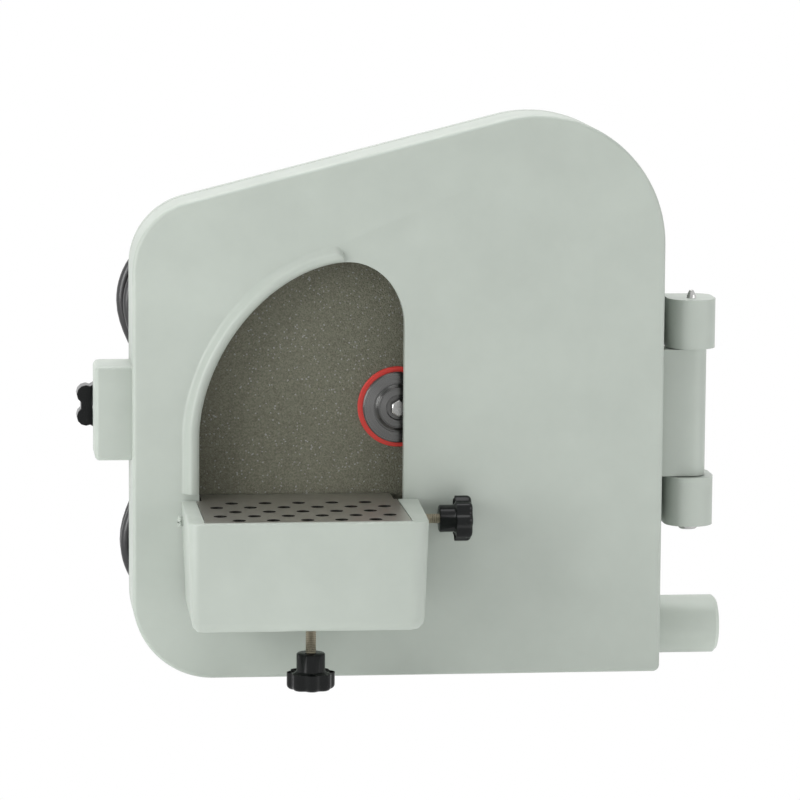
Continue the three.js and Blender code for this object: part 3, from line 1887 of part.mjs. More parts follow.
// Where the middle of the hanked cord is after a number of steps. The loops draw in towards
// the middle by a steady amount, then climb to the second layer and grow out again.
function hankPoint(step) {
  const loops = step / hank_loop_steps;
  const inward = Math.min(loops, hank.loops - loops);
  const reach = hank.outer - hank.pitch * inward;
  const waist = hank.waist - hank.pitch * inward;
  const in_loop = step % hank_loop_steps;
  const climb_start = (hank.loops / 2) * hank_loop_steps;
  const climb = THREE.MathUtils.clamp((step - climb_start) / hank.run_steps, 0, 1);
  const y = hank_y + hank.layer * climb;
  const half_loop = hank.run_steps + hank.bend_steps;
  const side = in_loop < half_loop ? 1 : -1;
  const local = in_loop % half_loop;
  if (local < hank.run_steps) {
    const along = 1 - (2 * local) / hank.run_steps;
    const share = along * along * (3 - 2 * Math.abs(along));
    const out = waist + (reach - waist) * share;
    return new THREE.Vector3(-hank.x + side * out, y, hank_z + side * hank.half_run * along);
  }
  const angle = (Math.PI * (local - hank.run_steps)) / hank.bend_steps;
  const x = side * reach * Math.cos(angle);
  const z = -side * (hank.half_run + reach * Math.sin(angle));
  return new THREE.Vector3(-hank.x + x, y, hank_z + z);
}

// One unbroken tube through all the loops, with flat ends square to the cord.
function cordHank() {
  const steps = hank.loops * hank_loop_steps;
  const points = Array.from({ length: steps + 1 }, (_, step) => hankPoint(step));
  points[steps] = new THREE.Vector3(...hank_finish);
  const side_axis = new THREE.Vector3(0, 1, 0);
  const loops = points.map((point, i) => {
    const along = points[Math.min(i + 1, steps)].clone().sub(points[Math.max(i - 1, 0)]);
    if (i === 0 || i === steps) along.set(0, 0, -1);
    const across = new THREE.Vector3().crossVectors(side_axis, along).normalize();
    const up = new THREE.Vector3().crossVectors(along, across).normalize();
    return Array.from({ length: hank.tube_sides }, (_, k) => {
      const angle = (2 * Math.PI * (k + 0.5)) / hank.tube_sides;
      const place = point.clone();
      place.addScaledVector(across, (cord.diameter / 2) * Math.cos(angle));
      place.addScaledVector(up, (cord.diameter / 2) * Math.sin(angle));
      return place.toArray();
    });
  });
  console.log(`least gap of the hank to itself: ${leastGap(points).toFixed(2)} mm`);
  return mesh('cord_hank', skin(loops), black_rubber);
}

// The least distance between stretches of the hank that aren't neighbours, less a diameter.
function leastGap(points) {
  const fine = [];
  for (let i = 0; i + 1 < points.length; i += 1) {
    for (let k = 0; k < hank.samples; k += 1) fine.push(
      points[i].clone().lerp(points[i + 1], k / hank.samples),
    );
  }
  const apart = hank_loop_steps * 2;
  let least = Infinity;
  for (let i = 0; i < fine.length; i += 1) {
    for (let j = i + apart; j < fine.length; j += 1) least = Math.min(
      least,
      fine[i].distanceTo(fine[j]),
    );
  }
  return least - cord.diameter;
}

function cordTie() {
  const half = cord.diameter / 2 + tie.gap;
  const radius = cord.diameter / 2;
  const waist_points = Array.from(
    { length: hank.loops * hank_loop_steps },
    (_, step) => hankPoint(step),
  )
    .filter((point) => Math.abs(point.z - hank_z) < (tie.reach_steps * hank.half_run) / hank.run_steps);
  const left = Math.min(...waist_points.map((point) => point.x)) - half;
  const right = Math.max(...waist_points.map((point) => point.x)) + half;
  const y = [hank_y - half, hank_y + hank.layer + half];
  const outer = rectangle(
    [left - tie.thickness, right + tie.thickness],
    [y[0] - tie.thickness, y[1] + tie.thickness],
    radius + tie.thickness,
  );
  const inner = rectangle([left, right], y, radius);
  const z = [hank_z - tie.width / 2, hank_z + tie.width / 2];
  const band = stack([[roundedRing(outer), z[0]], [roundedRing(outer), z[1]]]);
  const hole = stack([[roundedRing(inner), z[0] - overrun], [roundedRing(inner), z[1] + overrun]]);
  return mesh('cord_tie', cut(band, hole), black_plastic);
}

// Plug, lying on the surface with its pins to the right

function plugPieces() {
  const end = tail_route[tail_route.length - 1];
  const start = end[0] + cord.face_gap;
  const y = end[1];
  const neck_end = start + plug.neck;
  const face = neck_end + plug.length;
  const section = (width, height) => roundedRing(
    rectangle([-height / 2, height / 2], [-width / 2, width / 2], plug.round, 4),
  );
  const body = stack([
    [section(plug.neck_radius * 2, plug.neck_radius * 2), neck_end - overrun],
    [
      section(plug.width * plug.shoulder_share, plug.height * plug.shoulder_share),
      neck_end + plug.round,
    ],
    [section(plug.width, plug.height), neck_end + plug.length / 2],
    [section(plug.width, plug.height), face],
  ]);
  body.rotateY(Math.PI / 2).translate(0, y, plug_z);
  const neck = rodX(
    cord.diameter / 2 + plug.neck_wall,
    [start, neck_end],
    y,
    plug_z,
    20,
    plug.neck_radius,
  );
  const places = [
    ['plug_pin_line', -plug.pin_spread, plug.earth_drop / 2],
    ['plug_pin_neutral', plug.pin_spread, plug.earth_drop / 2],
    ['plug_pin_earth', 0, -plug.earth_drop],
  ];
  const pins = places.map(([name, across, up]) => {
    const half = plug.pin_width / 2;
    const thin = plug.pin_thickness / 2;
    const flat = name === 'plug_pin_earth' ? [thin, half] : [half * plug.pin_turn_share, thin];
    const pin_y = [y + across - flat[0], y + across + flat[0]];
    const pin_z = [plug_z + up - flat[1], plug_z + up + flat[1]];
    return { name, y: pin_y, z: pin_z };
  });
  const pockets = pins.map((pin) => block(
    [face - plug.pocket, face + overrun],
    [pin.y[0] - running_gap, pin.y[1] + running_gap],
    [pin.z[0] - running_gap, pin.z[1] + running_gap],
  ));
  return [
    mesh('plug_body', cut(join(body, neck), ...pockets), black_rubber),
    ...pins.map((pin) => mesh(
      pin.name,
      block([face - plug.pocket + running_gap, face + plug.pin_length], pin.y, pin.z),
      brass,
    )),
  ];
}

// Assembly

const machine = new THREE.Group();
const door_group = new THREE.Group();
const table_group = new THREE.Group();
const spindle = new THREE.Group();
const cord_group = new THREE.Group();

machine.add(
  backPlate(), hingePin(), latchWasher(), latchScrew(), latchKnob(), drainSump(),
  frontBell(), statorShell(), ...statorPieces(), rearBell(), fanCover(), frontBearing(), rearBearing(), shaftSeal(),
  baseFrame(), ...feet(), valveBody(), valveLever(), sprayTube(),
  terminalBox(), terminalLid(), rockerFrame(), rockerCap(), capacitorHood(),
);
spindle.add(
  discRing('grinding_disc', disc.radius, [disc_face, disc_face + disc.grit], grit_stone),
  discBacking(), redRing(), clampFlange(), wheelBolt(), motorShaft(), rotor(), coolingFan(),
);
door_group.add(doorCover(), doorGasket(), tableBracket(), pivotScrew(), stopStud(), stopKnob());
table_group.add(tableTray(), perforatedPlate(), clampStud(), clampKnob());
machine.add(spindle, door_group, table_group);
cord_group.add(
  cableGland(), cordTube('cord_lead', lead_route, 26), cordHank(), cordTie(), cordTube(
    'cord_tail',
    tail_route,
    38,
  ),
  ...plugPieces(),
);

// The part's origin is under the middle of the machine, on the surface it stands on.
machine.updateMatrixWorld(true);
const reach = new THREE.Box3().setFromObject(machine, true);
const middle = reach.getCenter(new THREE.Vector3());
const trimmer = new THREE.Group();
trimmer.add(machine, cord_group);
trimmer.position.set(-middle.x, -middle.y, -reach.min.z);
trimmer.updateMatrixWorld(true);

export default trimmer;
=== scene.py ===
"""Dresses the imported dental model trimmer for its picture: detailed pieces, finishes, light and camera."""

import json
import math

import bmesh
import bpy
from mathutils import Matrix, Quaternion, Vector


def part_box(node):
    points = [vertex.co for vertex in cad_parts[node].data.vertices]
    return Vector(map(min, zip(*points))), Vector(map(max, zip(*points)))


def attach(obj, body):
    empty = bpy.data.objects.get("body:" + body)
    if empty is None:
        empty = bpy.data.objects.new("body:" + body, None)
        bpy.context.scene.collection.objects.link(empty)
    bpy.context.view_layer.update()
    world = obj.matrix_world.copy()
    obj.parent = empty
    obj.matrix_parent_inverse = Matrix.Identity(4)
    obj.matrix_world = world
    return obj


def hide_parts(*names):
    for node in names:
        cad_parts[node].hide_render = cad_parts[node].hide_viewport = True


bl_info = {
    "name": "Dental model trimmer looks",
    "version": (1, 0, 0),
    "blender": (4, 5, 0),
    "location": "3D View > Sidebar > Trimmer",
    "description": "Builds the detailed pieces, finishes and stage of a bench trimmer for plaster models",
    "category": "Object",
}

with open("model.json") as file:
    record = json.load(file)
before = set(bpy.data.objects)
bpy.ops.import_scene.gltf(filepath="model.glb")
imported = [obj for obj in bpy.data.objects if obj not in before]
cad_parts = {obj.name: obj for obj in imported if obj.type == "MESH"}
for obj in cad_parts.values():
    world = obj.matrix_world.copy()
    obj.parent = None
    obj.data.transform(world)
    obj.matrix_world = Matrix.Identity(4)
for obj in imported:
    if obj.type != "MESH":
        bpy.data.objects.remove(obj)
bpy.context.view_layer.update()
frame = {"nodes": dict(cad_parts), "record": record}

MM = 0.001
QUARTER = math.pi / 2

# Sizes and places in millimetres that the pieces share with the solids.
DOOR_LEFT = 142.0
DOOR_RIGHT = 140.0
DOOR_LEFT_HEIGHT = 246.0
DOOR_SLOPE = math.radians(14.4)
DOOR_RADII = (42.5, 3.5, 69.0, 37.5)
DOOR_FACE = -36.0
DOOR_BACK = -1.0
DOOR_WALL = 6.0
PLATE_BACK = 8.0
AXIS_Z = 142.0
DISC_SEAT = -14.0
DISC_FRONT = -16.0
WASHER_FRONT = -17.4
HINGE_X = 158.0
HINGE_Y = -13.0
HINGE_MIDDLE = 137.8
HINGE_GAP = 0.5
PIN_HOLE = 2.56
LATCH_X = -154.0
LATCH_Z = 139.4
LATCH_HOLE = 4.6
LUG_MIDDLE = 140.9
DOOR_BARREL = 68.4
TILT_Y = -50.0
TILT_Z = 87.0
PIVOT_START = (-117.8, TILT_Y, TILT_Z)
CLAMP_KNOB_START = (18.5, TILT_Y, TILT_Z)
STOP_KNOB_START = (-51.5, -78.0, 21.5)
BELL_HOLE = 13.0
VALVE_X = 106.0
VALVE_Z = 246.0
VALVE_HOLE = 8.3

# How far a cutter runs past the piece that it cuts, and the smallest radius of a corner.
PAST = 2.0
SHARP = 0.3

# The gap, in metres, below which two points of a cut piece are one.
SLIVER = 0.000002

# Where the machine's own axes stand in the row frame: the disc's axis, the front of the back plate and the
# lower edge of the door.
DISC_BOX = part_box("grinding_disc")
DISC_MIDDLE = (DISC_BOX[0].x + DISC_BOX[1].x) / 2
ORIGIN = Vector((DISC_MIDDLE, DISC_BOX[1].y - DISC_SEAT * MM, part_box("door_cover")[0].z))


# Points and curves


def place(x, y, z):
    """A point given in millimetres on the machine's axes, in the row frame in metres."""
    return ORIGIN + Vector((x, y, z)) * MM


def turned_point(centre, axis, a, b, along):
    """A point of a turned piece, in millimetres: a and b lie across its axis, and along lies on it."""
    x, y, z = centre
    if axis == "X":
        return (x + along, y + a, z + b)
    if axis == "Y":
        return (x + a, y + along, z + b)
    return (x + a, y + b, z + along)


def quarter(radius, steps):
    """Steps of a rounded edge: how far in and how far down at each."""
    turns = [QUARTER * k / steps for k in range(steps + 1)]
    return [(radius * (1 - math.cos(turn)), radius * (1 - math.sin(turn))) for turn in turns]


def path_length(points):
    """The length of a line of points."""
    return sum((after - before).length for before, after in zip(points, points[1:]))


def along_path(points, distance):
    """The place at a distance along a line of points."""
    for before, after in zip(points, points[1:]):
        span = (after - before).length
        if distance <= span:
            return before.lerp(after, distance / span)
        distance -= span
    return points[-1]


def smooth_path(points, count):
    """Points evenly spaced along a centripetal curve through the given ones."""
    points = [Vector(point) for point in points]
    ends = [points[0] * 2 - points[1]] + points + [points[-1] * 2 - points[-2]]
    fine = []
    for i in range(1, len(ends) - 2):
        p0, p1, p2, p3 = ends[i - 1 : i + 3]
        t0 = 0.0
        t1 = t0 + (p1 - p0).length ** 0.5
        t2 = t1 + (p2 - p1).length ** 0.5
        t3 = t2 + (p3 - p2).length ** 0.5
        for k in range(24):
            t = t1 + (t2 - t1) * k / 24
            a1 = between(p0, p1, t0, t1, t)
            a2 = between(p1, p2, t1, t2, t)
            a3 = between(p2, p3, t2, t3, t)
            b1 = between(a1, a2, t0, t2, t)
            b2 = between(a2, a3, t1, t3, t)
            fine.append(between(b1, b2, t1, t2, t))
    fine.append(points[-1].copy())
    whole = path_length(fine)
    return [along_path(fine, whole * i / (count - 1)) for i in range(count)]


def between(first, second, start, end, now):
    """The place between two points at a time between theirs."""
    return first * ((end - now) / (end - start)) + second * ((now - start) / (end - start))


def rounded_outline(corners, radii, steps, inset=0.0):
    """A polygon, anticlockwise, moved inwards and with its corners rounded, each in its own steps."""
    count = len(corners)
    sides = []
    for i in range(count):
        here = Vector(corners[i])
        along = (Vector(corners[(i + 1) % count]) - here).normalized()
        sides.append((here + Vector((-along.y, along.x)) * inset, along))
    moved = []
    for i in range(count):
        p, d = sides[i - 1]
        q, e = sides[i]
        reach = ((q.x - p.x) * e.y - (q.y - p.y) * e.x) / (d.x * e.y - d.y * e.x)
        moved.append(p + d * reach)
    ring = []
    for i in range(count):
        here = moved[i]
        before = (moved[i - 1] - here).normalized()
        after = (moved[(i + 1) % count] - here).normalized()
        half = before.angle(after) / 2
        radius = max(radii[i] - inset, SHARP)
        centre = here + (before + after).normalized() * (radius / math.sin(half))
        start = here + before * (radius / math.tan(half)) - centre
        end = here + after * (radius / math.tan(half)) - centre
        sweep = math.atan2(start.x * end.y - start.y * end.x, start.dot(end))
        for k in range(steps[i] + 1):
            cosine, sine = math.cos(sweep * k / steps[i]), math.sin(sweep * k / steps[i])
            x = centre.x + start.x * cosine - start.y * sine
            y = centre.y + start.x * sine + start.y * cosine
            ring.append((x, y))
    return ring


def facing(ring, y):
    """A ring seen from the front, set at a depth."""
    return [(x, y, z) for x, z in ring]


# Meshes


def new_object(name, mesh, material, smooth=35):
    """Links a mesh as an object with one finish, smooth except at edges sharper than the given angle."""
    obj = bpy.data.objects.new(name, mesh)
    bpy.context.scene.collection.objects.link(obj)
    mesh.materials.clear()
    if material is not None:
        mesh.materials.append(material)
    return smoothed(obj, smooth)


def smoothed(obj, angle=35):
    """Makes a piece smooth except at edges sharper than an angle."""
    obj.data.shade_smooth()
    obj.data.set_sharp_from_angle(angle=math.radians(angle))
    return obj


def closed_form(name, bm, material, smooth):
    """The piece that a finished form becomes, its faces turned outwards."""
    bmesh.ops.recalc_face_normals(bm, faces=bm.faces)
    mesh = bpy.data.meshes.new(name)
    bm.to_mesh(mesh)
    bm.free()
    return new_object(name, mesh, material, smooth)


def loft(name, rings, material=None, smooth=35):
    """A closed piece through rings of equal count, in millimetres on the machine's axes."""
    bm = bmesh.new()
    rows = [[bm.verts.new(place(*point)) for point in ring] for ring in rings]
    for low, high in zip(rows, rows[1:]):
        for i in range(len(low)):
            bm.faces.new((low[i - 1], low[i], high[i], high[i - 1]))
    bm.faces.new(list(reversed(rows[0])))
    bm.faces.new(rows[-1])
    return closed_form(name, bm, material, smooth)


def lathe(name, profile, centre, axis, material=None, segments=72, smooth=35):
    """Turns a profile of radius and place along the axis, closed on itself or from axis to axis."""
    bm = bmesh.new()
    rows = []
    for radius, along in profile:
        row = []
        for k in range(segments if radius else 1):
            a = radius * math.cos(2 * math.pi * k / segments)
            b = radius * math.sin(2 * math.pi * k / segments)
            row.append(bm.verts.new(place(*turned_point(centre, axis, a, b, along))))
        rows.append(row)
    if profile[0] == profile[-1]:
        bmesh.ops.delete(bm, geom=rows.pop(), context="VERTS")
        rows.append(rows[0])
    for low, high in zip(rows, rows[1:]):
        for k in range(segments):
            sides = [(row[k - 1], row[k]) if len(row) > 1 else (row[0],) for row in (low, high)]
            bm.faces.new((*sides[0], *reversed(sides[1])))
    return closed_form(name, bm, material, smooth)


def box_form(name, low, high):
    """A plain block used as a cutter or as stock."""
    (x0, y0, z0), (x1, y1, z1) = low, high
    return loft(name, [[(x0, y0, z), (x1, y0, z), (x1, y1, z), (x0, y1, z)] for z in (z0, z1)])


def rod_form(name, radius, centre, along, axis, segments=48):
    """A plain rod used as a cutter or as stock."""
    low, high = along
    return lathe(name, [(0, low), (radius, low), (radius, high), (0, high)], centre, axis, None, segments)


def bevelled(obj, width, segments=3, angle=35):
    """Rounds the sharp edges of a piece by a width in millimetres."""
    bevel = obj.modifiers.new("edges", "BEVEL")
    bevel.width = width * MM
    bevel.segments = segments
    bevel.limit_method = "ANGLE"
    bevel.angle_limit = math.radians(angle)
    bevel.harden_normals = True
    return obj


def combined(obj, operation, *others):
    """Joins other closed forms to a piece or cuts them out of it, one by one, and deletes those forms."""
    for other in others:
        combine = obj.modifiers.new("combine", "BOOLEAN")
        combine.operation = operation
        combine.solver = "EXACT"
        combine.object = other
        depsgraph = bpy.context.evaluated_depsgraph_get()
        mesh = bpy.data.meshes.new_from_object(obj.evaluated_get(depsgraph))
        obj.modifiers.clear()
        obj.data = mesh
        bpy.data.objects.remove(other)
    return obj


def cut_by(obj, *cutters):
    """Takes the cutters' forms out of a piece."""
    return combined(obj, "DIFFERENCE", *cutters)


def joined_with(obj, *others):
    """Adds other forms to a piece."""
    return combined(obj, "UNION", *others)


def without_slivers(obj):
    """Merges the points of a piece that cuts left almost on top of each other."""
    bm = bmesh.new()
    bm.from_mesh(obj.data)
    bmesh.ops.remove_doubles(bm, verts=bm.verts, dist=SLIVER)
    bmesh.ops.dissolve_degenerate(bm, edges=bm.edges, dist=SLIVER)
    bm.to_mesh(obj.data)
    bm.free()
    return obj


def dressed(node, material, width=0.0, segments=2, angle=35):
    """A copy of a solid with its flat faces whole, and its sharp edges rounded unless the width is 0."""
    mesh = frame["nodes"][node].data.copy()
    bm = bmesh.new()
    bm.from_mesh(mesh)
    bmesh.ops.remove_doubles(bm, verts=bm.verts, dist=1e-6)
    bmesh.ops.dissolve_limit(bm, angle_limit=math.radians(0.3), verts=bm.verts, edges=bm.edges)
    bm.to_mesh(mesh)
    bm.free()
    obj = new_object(node + "_look", mesh, material, angle)
    return bevelled(obj, width, segments, angle) if width else obj


def settle(obj, *nodes):
    """The piece stands for these solids and moves with their body."""
    record = frame["record"]
    bodies = record["behaviour"]["bodies"]
    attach(obj, next(name for name, members in bodies.items() if nodes[0] in members))
    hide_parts(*nodes)
    return obj


# Effects that finishes share


def add(tree, kind, inputs=None, **settings):
    """Adds a node, sets its settings, and sets or links its inputs by name or number."""
    node = tree.nodes.new(kind)
    for key, value in settings.items():
        setattr(node, key, value)
    for key, value in (inputs or {}).items():
        if isinstance(value, bpy.types.NodeSocket):
            tree.links.new(value, node.inputs[key])
        else:
            node.inputs[key].default_value = value
    return node


def maths(tree, operation, *values):
    """The result of one calculation on sockets or numbers."""
    return add(tree, "ShaderNodeMath", dict(enumerate(values)), operation=operation).outputs[0]


def vector_maths(tree, operation, *values):
    """The result of one calculation on vectors."""
    node = add(tree, "ShaderNodeVectorMath", dict(enumerate(values)), operation=operation)
    return node.outputs["Value" if operation in ("LENGTH", "DOT_PRODUCT") else "Vector"]


def remapped(tree, value, low, high, to_low=0.0, to_high=1.0):
    """A value taken from one range to another, and held inside it."""
    inputs = {"Value": value, "From Min": low, "From Max": high, "To Min": to_low, "To Max": to_high}
    return add(tree, "ShaderNodeMapRange", inputs).outputs["Result"]


def mixed(tree, share, first, second):
    """A colour between two others, each a socket or a plain colour."""
    inputs = {0: share}
    for index, value in ((6, first), (7, second)):
        inputs[index] = value if isinstance(value, bpy.types.NodeSocket) else (*value[:3], 1.0)
    return add(tree, "ShaderNodeMix", inputs, data_type="RGBA").outputs[2]


def position(tree):
    """The place on the piece, in metres."""
    return add(tree, "ShaderNodeTexCoord").outputs["Object"]


def noise(tree, where, scale, detail, roughness=0.5):
    """Soft noise in three dimensions."""
    inputs = {"Vector": where, "Scale": scale, "Detail": detail, "Roughness": roughness}
    return add(tree, "ShaderNodeTexNoise", inputs).outputs[0]


def bumped(tree, height, depth, strength):
    """The normal of a surface that a height raises."""
    inputs = {"Height": height, "Distance": depth, "Strength": strength}
    return add(tree, "ShaderNodeBump", inputs).outputs[0]


def upright(tree, normal):
    """How far one of the surface's normals points up."""
    facing_way = add(tree, "ShaderNodeNewGeometry").outputs[normal]
    return add(tree, "ShaderNodeSeparateXYZ", {0: facing_way}).outputs["Z"]


def socket_kind(is_vector):
    """The type of a group's socket for a vector or a number."""
    return "NodeSocketVector" if is_vector else "NodeSocketFloat"


def effect(name, **defaults):
    """A new shader node group with named inputs, and those inputs as its nodes see them."""
    tree = bpy.data.node_groups.new(name, "ShaderNodeTree")
    for label, default in defaults.items():
        kind = socket_kind(isinstance(default, tuple))
        tree.interface.new_socket(label, in_out="INPUT", socket_type=kind).default_value = default
    return tree, tree.nodes.new("NodeGroupInput").outputs


def with_results(tree, **results):
    """Gives a shader node group its named outputs."""
    for label in results:
        tree.interface.new_socket(label, in_out="OUTPUT", socket_type=socket_kind(label == "Normal"))
    outputs = tree.nodes.new("NodeGroupOutput").inputs
    for label, value in results.items():
        tree.links.new(value, outputs[label])
    return tree


def relief_effect():
    """Fine uneven skin of paint, casting or rubber."""
    tree, given = effect("Relief", Grain=700.0, Depth=0.00003)
    where = position(tree)
    patches = remapped(tree, noise(tree, where, 22.0, 4.0, 0.6), 0.35, 0.65)
    skin = noise(tree, where, given["Grain"], 3.0)
    return with_results(tree, Patches=patches, Normal=bumped(tree, skin, given["Depth"], 0.5))


def brushed_effect():
    """Fine parallel lines left by a belt, across the longer way of the stretch."""
    tree, given = effect("Brushed", Stretch=(1.0, 1.0, 1.0), Depth=0.00002)
    drawn = vector_maths(tree, "MULTIPLY", position(tree), given["Stretch"])
    lines = noise(tree, drawn, 1.0, 5.0, 0.7)
    return with_results(tree, Lines=lines, Normal=bumped(tree, lines, given["Depth"], 0.6))


def turned_effect():
    """Fine rings left by a lathe, round an axis through a centre."""
    places = {"Centre": (0.0, 0.0, 0.0), "Across": (1.0, 1.0, 0.0)}
    tree, given = effect("Turned", **places, Rings=2500.0, Depth=0.00001)
    off = vector_maths(tree, "SUBTRACT", position(tree), given["Centre"])
    radius = vector_maths(tree, "LENGTH", vector_maths(tree, "MULTIPLY", off, given["Across"]))
    inputs = {"W": maths(tree, "MULTIPLY", radius, given["Rings"]), "Scale": 1.0, "Detail": 3.0}
    lines = add(tree, "ShaderNodeTexNoise", inputs, noise_dimensions="1D").outputs[0]
    return with_results(tree, Lines=lines, Normal=bumped(tree, lines, given["Depth"], 0.5))


def thread_effect():
    """The crests and roots of a cut thread, one turn for each pitch along a direction."""
    tree, given = effect("Thread", Along=(0.0, 0.0, 1.0), Pitch=0.001, Depth=0.0004)
    reach = vector_maths(tree, "DOT_PRODUCT", position(tree), given["Along"])
    turns = maths(tree, "FRACT", maths(tree, "DIVIDE", reach, given["Pitch"]))
    crest = maths(tree, "MULTIPLY", maths(tree, "ABSOLUTE", maths(tree, "SUBTRACT", turns, 0.5)), 2.0)
    return with_results(tree, Crest=crest, Normal=bumped(tree, crest, given["Depth"], 0.9))


def grit_effect():
    """Coarse bonded grains: a tone for each grain, a mask of a few facets that the grit finish paints as
    glints, and a rough normal.
    """
    tree, given = effect("Grit", Grains=1500.0, Depth=0.0003)
    where = position(tree)
    cells = add(tree, "ShaderNodeTexVoronoi", {"Vector": where, "Scale": given["Grains"]}).outputs
    grain = add(tree, "ShaderNodeSeparateColor", {"Color": cells["Color"]}).outputs
    worn = maths(tree, "MULTIPLY", noise(tree, where, 16.0, 5.0, 0.6), 0.45)
    tone = maths(tree, "ADD", maths(tree, "MULTIPLY", grain["Red"], 0.6), worn)
    facets = remapped(tree, grain["Green"], 0.97, 0.985)
    height = maths(tree, "SUBTRACT", grain["Blue"], cells["Distance"])
    return with_results(tree, Tone=tone, Facets=facets, Normal=bumped(tree, height, given["Depth"], 0.9))


def dust_effect():
    """Where pale dust settles: on faces that look up, in patches."""
    tree, given = effect("Dust", Amount=0.3)
    level = remapped(tree, upright(tree, "Normal"), 0.3, 1.0)
    spots = remapped(tree, noise(tree, position(tree), 60.0, 8.0, 0.7), 0.42, 0.7)
    mask = maths(tree, "MULTIPLY", maths(tree, "MULTIPLY", level, spots), given["Amount"])
    return with_results(tree, Mask=mask)


EFFECTS = {}


def use_effect(tree, maker, **values):
    """Adds a shared effect to a finish with values of its own, building the effect the first time."""
    if maker not in EFFECTS:
        EFFECTS[maker] = maker()
    node = add(tree, "ShaderNodeGroup", node_tree=EFFECTS[maker])
    for label, value in values.items():
        node.inputs[label].default_value = value
    return node.outputs


# Finishes

PALE_DUST = (0.62, 0.62, 0.6)
METAL_DUST = (0.55, 0.54, 0.52)
# A paler colour for a few grit grains, a painted glint that stands in for their sparkle.
GLINT_FACET = (0.22, 0.22, 0.21)
DISC_AXIS = {"Centre": tuple(place(0, 0, AXIS_Z)), "Across": (1.0, 0.0, 1.0)}
PIN_AXIS = {"Centre": tuple(place(HINGE_X, HINGE_Y, 0)), "Across": (1.0, 1.0, 0.0)}


def new_finish(name, constants):
    """A finish with one Principled shader whose plain sockets are set to constants."""
    material = bpy.data.materials.new(name)
    material.use_nodes = True
    tree = material.node_tree
    tree.nodes.clear()
    shader = add(tree, "ShaderNodeBsdfPrincipled", constants)
    add(tree, "ShaderNodeOutputMaterial", {"Surface": shader.outputs[0]})
    return material, tree, shader.inputs


def dress_shader(tree, shader, tone, roughness, normal):
    """Feeds the shader what varies over the surface."""
    tree.links.new(tone, shader["Base Color"])
    tree.links.new(roughness, shader["Roughness"])
    tree.links.new(normal, shader["Normal"])


def shade(colour, factor):
    """A colour made darker or paler."""
    return tuple(min(1.0, channel * factor) for channel in colour[:3])


def paint(name, colour, roughness, grain, depth, dust):
    """Satin enamel over cast metal, faintly uneven in tone, with a little dust on level faces."""
    material, tree, shader = new_finish(name, {"Coat Weight": 0.12, "Coat Roughness": 0.3})
    relief = use_effect(tree, relief_effect, Grain=grain, Depth=depth)
    tone = mixed(tree, relief["Patches"], colour, shade(colour, 0.93))
    tone = mixed(tree, use_effect(tree, dust_effect, Amount=dust)["Mask"], tone, PALE_DUST)
    rough = remapped(tree, relief["Patches"], 0, 1, roughness, roughness + 0.08)
    dress_shader(tree, shader, tone, rough, relief["Normal"])
    return material


def turned_metal(name, colour, roughness, axis, rings=2500.0, anisotropic=0.0):
    """Turned metal with fine rings round its own axis."""
    material, tree, shader = new_finish(name, {"Metallic": 1.0})
    lines = use_effect(tree, turned_effect, Rings=rings, **axis)
    tone = mixed(tree, lines["Lines"], colour, shade(colour, 0.8))
    rough = remapped(tree, lines["Lines"], 0.3, 0.7, roughness - 0.07, roughness + 0.1)
    dress_shader(tree, shader, tone, rough, lines["Normal"])
    if anisotropic:
        shader["Anisotropic"].default_value = anisotropic
        shader["Anisotropic Rotation"].default_value = 0.25
        round_y = add(tree, "ShaderNodeTangent", direction_type="RADIAL", axis="Y")
        tree.links.new(round_y.outputs[0], shader["Tangent"])
    return material


def brushed_metal(name, colour, roughness, stretch, dust=0.0, walls=1.0):
    """Metal with fine lines; the upright faces of its holes take a share of its colour as painted shade."""
    material, tree, shader = new_finish(name, {"Metallic": 1.0})
    lines = use_effect(tree, brushed_effect, Stretch=stretch)
    tone = mixed(tree, lines["Lines"], colour, shade(colour, 0.78))
    # Painted shade: the upright faces of the holes are darkened to a share of the colour, as if no light
    # reached them.
    if walls < 1.0:
        level = maths(tree, "ABSOLUTE", upright(tree, "True Normal"))
        tone = mixed(tree, remapped(tree, level, 0.2, 0.7, 1.0, 0.0), tone, shade(colour, walls))
    if dust:
        tone = mixed(tree, use_effect(tree, dust_effect, Amount=dust)["Mask"], tone, METAL_DUST)
    rough = remapped(tree, lines["Lines"], 0.3, 0.7, roughness - 0.08, roughness + 0.12)
    dress_shader(tree, shader, tone, rough, lines["Normal"])
    return material


def threaded_metal(name, colour, roughness, way):
    """A threaded rod, dark in the roots of its thread."""
    material, tree, shader = new_finish(name, {"Metallic": 1.0})
    thread = use_effect(tree, thread_effect, Along=way)
    worn = use_effect(tree, relief_effect, Grain=900.0, Depth=0.00004)["Patches"]
    tone = mixed(tree, thread["Crest"], shade(colour, 0.45), colour)
    tone = mixed(tree, worn, tone, shade(colour, 0.7))
    rough = remapped(tree, worn, 0, 1, roughness, roughness + 0.12)
    dress_shader(tree, shader, tone, rough, thread["Normal"])
    return material


def grit_finish(name, dark, light):
    """Coarse grinding grit with a fine sparkle, partly a painted glint of paler grains and partly real
    glints.
    """
    material, tree, shader = new_finish(name, {"Specular IOR Level": 0.55})
    grains = use_effect(tree, grit_effect)
    # Painted glint: a few facet grains take a paler colour, and their lower roughness gives real glints as
    # well.
    tone = mixed(tree, grains["Facets"], mixed(tree, grains["Tone"], dark, light), GLINT_FACET)
    rough = remapped(tree, grains["Facets"], 0, 1, 0.75, 0.3)
    dress_shader(tree, shader, tone, rough, grains["Normal"])
    return material


